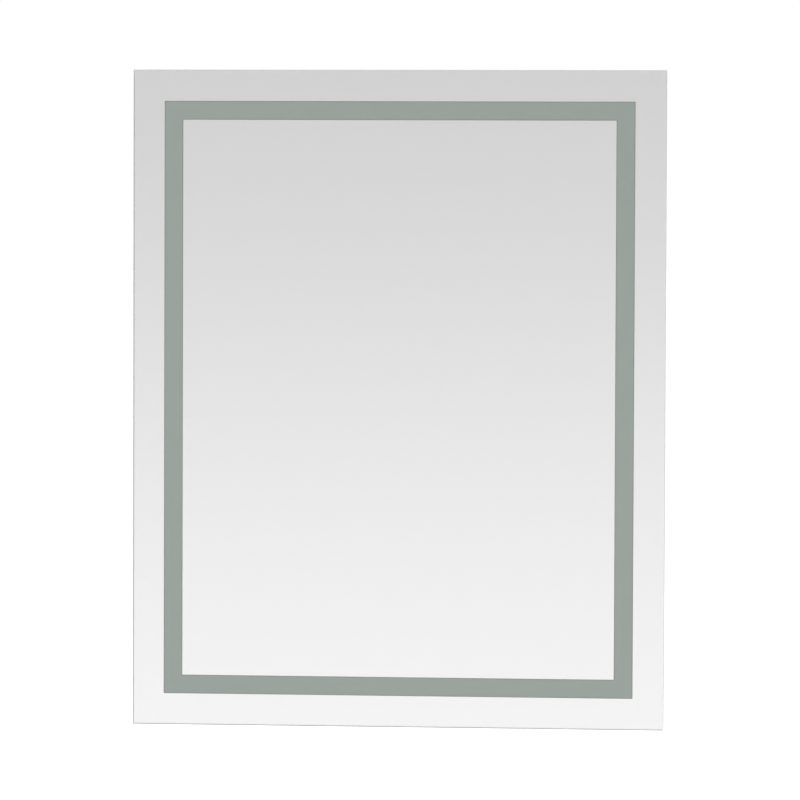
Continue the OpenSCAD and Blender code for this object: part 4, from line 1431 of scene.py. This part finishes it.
@dataclass
class WiringBox:
    """What shows of the wiring: its cover plate, screws, rivets and cable bushing.

    Attributes:
        corner: Radius of the plate's corners.
        ease: Radius of the plate's edges.
        margin: Width of the strip round the plate's flat faces.
        play: Gap between the bushing's sleeve and the plate.
        bushing: The bushing that lines the cable's hole in the plate.
    """

    corner: float = 2.5
    ease: float = 0.3
    margin: float = 1.0
    play: float = 0.05
    bushing: CableBushing = field(
        default_factory=lambda: CableBushing("cable_bushing", "snap_cable_bushing", BLACK_RUBBER)
    )

    def plate(self) -> None:
        """Makes the cover plate with soft edges and a round hole for the bushing's sleeve."""
        low, high = box_of("wiring_cover")
        path = [(self.margin, low[1]), (0.0, low[1]), (0.0, high[1]), (self.margin, high[1])]
        edge = rounded_path(path, self.ease, steps=3)
        rings = slab(low, high, self.corner, edge)
        centre, half = middle_and_half(*box_of("cable_bushing"))
        radius = half[0] - self.bushing.flange[0] + self.play
        profile = [(radius, low[1]), (radius, high[1])]
        hole = turned(profile, centre, self.bushing.steps)
        rims = hole.points.reshape(len(profile), -1, 3)
        patches = [grid_patch(rings, wrap=True), hole]
        patches += [ring_patch(rings[face], rims[face]) for face in (0, -1)]
        add_piece("wiring_cover_plate", patches, (GALVANISED,), MIRROR, "wiring_cover")

    def build(self) -> None:
        """Makes the plate, the rivets, the bushing and the screws."""
        self.plate()
        BlindRivets("junction_box_rivets", "set_box_rivets", ZINC_PLATE, steps=32).build()
        self.bushing.build()
        PanScrews("wiring_cover_screws", shaft=1.7, head=2.2).build()
        PanScrews("driver_screws", shaft=1.4, head=1.8).build()


# ---- The studio ----


@dataclass(frozen=True)
class Lamp:
    """A square soft lamp that looks at the mirror's middle.

    Attributes:
        name: Its name.
        place: Its place in metres.
        size: Length of its sides in metres.
        share: What it adds to a white surface that faces it, where 1 is white.
    """

    name: str
    place: tuple[float, float, float]
    size: float
    share: float

    def light(self) -> None:
        """Adds the lamp. Only those on the wall side show in metal and glass.

        A white surface that faces it from a distance d gets its power / (pi^2 d^2).
        """
        low, high = box_of("mirror_pane")
        towards = Vector((low + high) / 2 * MM) - Vector(self.place)
        data = bpy.data.lights.new(self.name, "AREA")
        data.size = self.size
        data.energy = self.share * math.pi**2 * towards.length_squared
        lamp = new_object(self.name, data)
        lamp.rotation_euler = towards.to_track_quat("-Z", "Y").to_euler()
        lamp.location = self.place
        lamp.visible_camera = False
        lamp.visible_glossy = lamp.visible_transmission = self.place[1] > 0


@dataclass
class Studio:
    """Camera, background, floor and lamps.

    Attributes:
        image_width: Width of the image in pixels.
        focal_length: Distance of the image plane in pixels.
        sensor: Width of the camera's sensor in millimetres.
        clip: The nearest and the farthest that the camera sees, in metres.
        eye: Place of the camera in metres.
        yaw: Turn of the view from +Y towards +X in degrees.
        pitch: Rise of the view in degrees.
        roll: Turn of the camera about its view in degrees.
        floor_colour: Colour of the floor as an sRGB hex value.
        floor_roughness: Its roughness.
        floor_drop: Distance of the floor below the mirror in metres.
        floor_glow: What the camera sees of the floor beyond the light that falls on it.
        floor_reach: Half width of the floor in metres.
        ambient: Level of the light from all round, where 1 shows a colour as it is.
        film_share: Share of the light that comes back from the mirror.
        sweep: Mean level of the reflected studio, its swing about that, the elevation in
            degrees where it turns, and how many degrees the turn takes.
        fall: Elevations in degrees between which the sweep falls, and its lowest share.
        lamps: The lamps, two in the room and two on the wall side.
    """

    image_width: float = 800.0
    focal_length: float = 5126.65
    sensor: float = 36.0
    clip: tuple[float, float] = (0.1, 100.0)
    eye: tuple[float, float, float] = (0.571316, -6.242747, -0.078601)
    yaw: float = -5.23984
    pitch: float = -2.254137
    roll: float = 0.210932
    floor_colour: str = "#F2F2F0"
    floor_roughness: float = 0.9
    floor_drop: float = 0.26
    floor_glow: float = 0.56
    floor_reach: float = 60.0
    ambient: float = 0.55
    film_share: float = 0.868
    sweep: tuple[float, ...] = (0.768, 0.188, -2.0, 4.08)
    fall: tuple[float, ...] = (-8.0, -60.0, 0.65)
    lamps: tuple[Lamp, ...] = (
        Lamp("key_lamp", (-2.2, -3.2, 2.2), 1.8, 0.42),
        Lamp("fill_lamp", (2.8, -2.6, 0.6), 2.0, 0.18),
        Lamp("rear_lamp", (3.0, 2.2, 2.0), 2.4, 0.42),
        Lamp("rear_fill_lamp", (-2.8, 2.6, 0.2), 2.6, 0.14),
    )

    def set_camera(self) -> None:
        """Places the camera by its own axes: right, up and back from the view."""
        yaw, pitch, roll = (math.radians(angle) for angle in (self.yaw, self.pitch, self.roll))
        ahead = Vector((math.sin(yaw) * math.cos(pitch), math.cos(yaw) * math.cos(pitch), math.sin(pitch)))
        level = Vector((math.cos(yaw), -math.sin(yaw), 0.0))
        rise = level.cross(ahead)
        right = level * math.cos(roll) + rise * math.sin(roll)
        up = rise * math.cos(roll) - level * math.sin(roll)
        data = bpy.data.cameras.new("camera")
        data.sensor_width = self.sensor
        data.lens = self.sensor * self.focal_length / self.image_width
        data.clip_start, data.clip_end = self.clip
        camera = new_object("camera", data)
        camera.matrix_world = Matrix((right, up, -ahead)).transposed().to_4x4()
        camera.location = self.eye
        bpy.context.scene.camera = camera

    def set_world(self) -> None:
        """Sets a white background, a plain ambient light and a soft sweep for reflections.

        Reflections see a studio that is brighter low down. Its level by the elevation e is
        the mean plus the swing times tanh((turn - e) / width), and it falls gently below.
        """
        mean, swing, turn, width = self.sweep
        fall_start, fall_end, lowest = self.fall
        world = bpy.data.worlds.new("studio")
        bpy.context.scene.world = world
        world.use_nodes = True
        tree = world.node_tree
        tree.nodes.clear()
        way = add_node(tree, "TexCoord").outputs["Generated"]
        height = add_node(tree, "SeparateXYZ", way).outputs["Z"]
        degrees = calculate(tree, "DEGREES", calculate(tree, "ARCSINE", height))
        offset = add_node(tree, "MapRange", degrees, turn, turn - width, 0.0, 1.0, clamp=False).outputs[0]
        sweep = calculate(tree, "MULTIPLY_ADD", calculate(tree, "TANH", offset), swing, mean)
        ends = (fall_end, fall_start, lowest, 1.0)
        fall = add_node(tree, "MapRange", degrees, *ends, interpolation_type="SMOOTHSTEP").outputs[0]
        mirrored = calculate(tree, "DIVIDE", calculate(tree, "MULTIPLY", sweep, fall), self.film_share)
        ray = add_node(tree, "LightPath").outputs
        bent = calculate(tree, "MAXIMUM", ray["Is Glossy Ray"], ray["Is Transmission Ray"])
        level = add_node(tree, "Mix", bent, named={"A": self.ambient, "B": mirrored}).outputs[0]
        level = add_node(tree, "Mix", ray["Is Camera Ray"], named={"A": level, "B": 1.0}).outputs[0]
        background = add_node(tree, "Background", (1.0, 1.0, 1.0, 1.0), level)
        add_node(tree, "OutputWorld", background.outputs[0])

    def add_floor(self) -> None:
        """Lays a pale floor that shows white, keeps the mirror's shadow and is clear from below."""
        bottom = box_of("mirror_pane")[0][2] * MM - self.floor_drop
        mesh = bpy.data.meshes.new("floor")
        mesh.from_pydata([(x, y, bottom) for x, y in SQUARE * self.floor_reach], [], [(0, 1, 2, 3)])
        floor = new_object("floor", mesh)
        material = bpy.data.materials.new("studio_floor")
        material.use_nodes = True
        tree = material.node_tree
        shader = tree.nodes["Principled BSDF"]
        shader.inputs["Base Color"].default_value = linear(self.floor_colour)
        shader.inputs["Roughness"].default_value = self.floor_roughness
        shader.inputs["Emission Color"].default_value = (1.0, 1.0, 1.0, 1.0)
        seen = add_node(tree, "LightPath").outputs["Is Camera Ray"]
        glow = calculate(tree, "MULTIPLY", seen, self.floor_glow)
        tree.links.new(glow, shader.inputs["Emission Strength"])
        under = add_node(tree, "NewGeometry").outputs["Backfacing"]
        clear = add_node(tree, "BsdfTransparent").outputs[0]
        one_sided = add_node(tree, "MixShader", under, shader.outputs[0], clear).outputs[0]
        tree.links.new(one_sided, tree.nodes["Material Output"].inputs["Surface"])
        mesh.materials.append(material)
        floor.visible_glossy = False
        floor.visible_transmission = False

    def build(self) -> None:
        """Sets the camera, the world, the floor and the lamps."""
        self.set_camera()
        self.set_world()
        self.add_floor()
        for lamp in self.lamps:
            lamp.light()
        bpy.context.scene.view_settings.view_transform = "Standard"


def main() -> None:
    """Builds the studio, then the mirror, sub-assembly by sub-assembly."""
    logging.basicConfig(level=logging.INFO, format="%(name)s: %(message)s")
    Studio().build()
    dress_nodes()
    for assembly in (MirrorGlass(), Housing(), HangingRails(), WiringBox()):
        LOG.info("building %s", type(assembly).__name__)
        assembly.build()


if __name__ == "__main__":
    main()
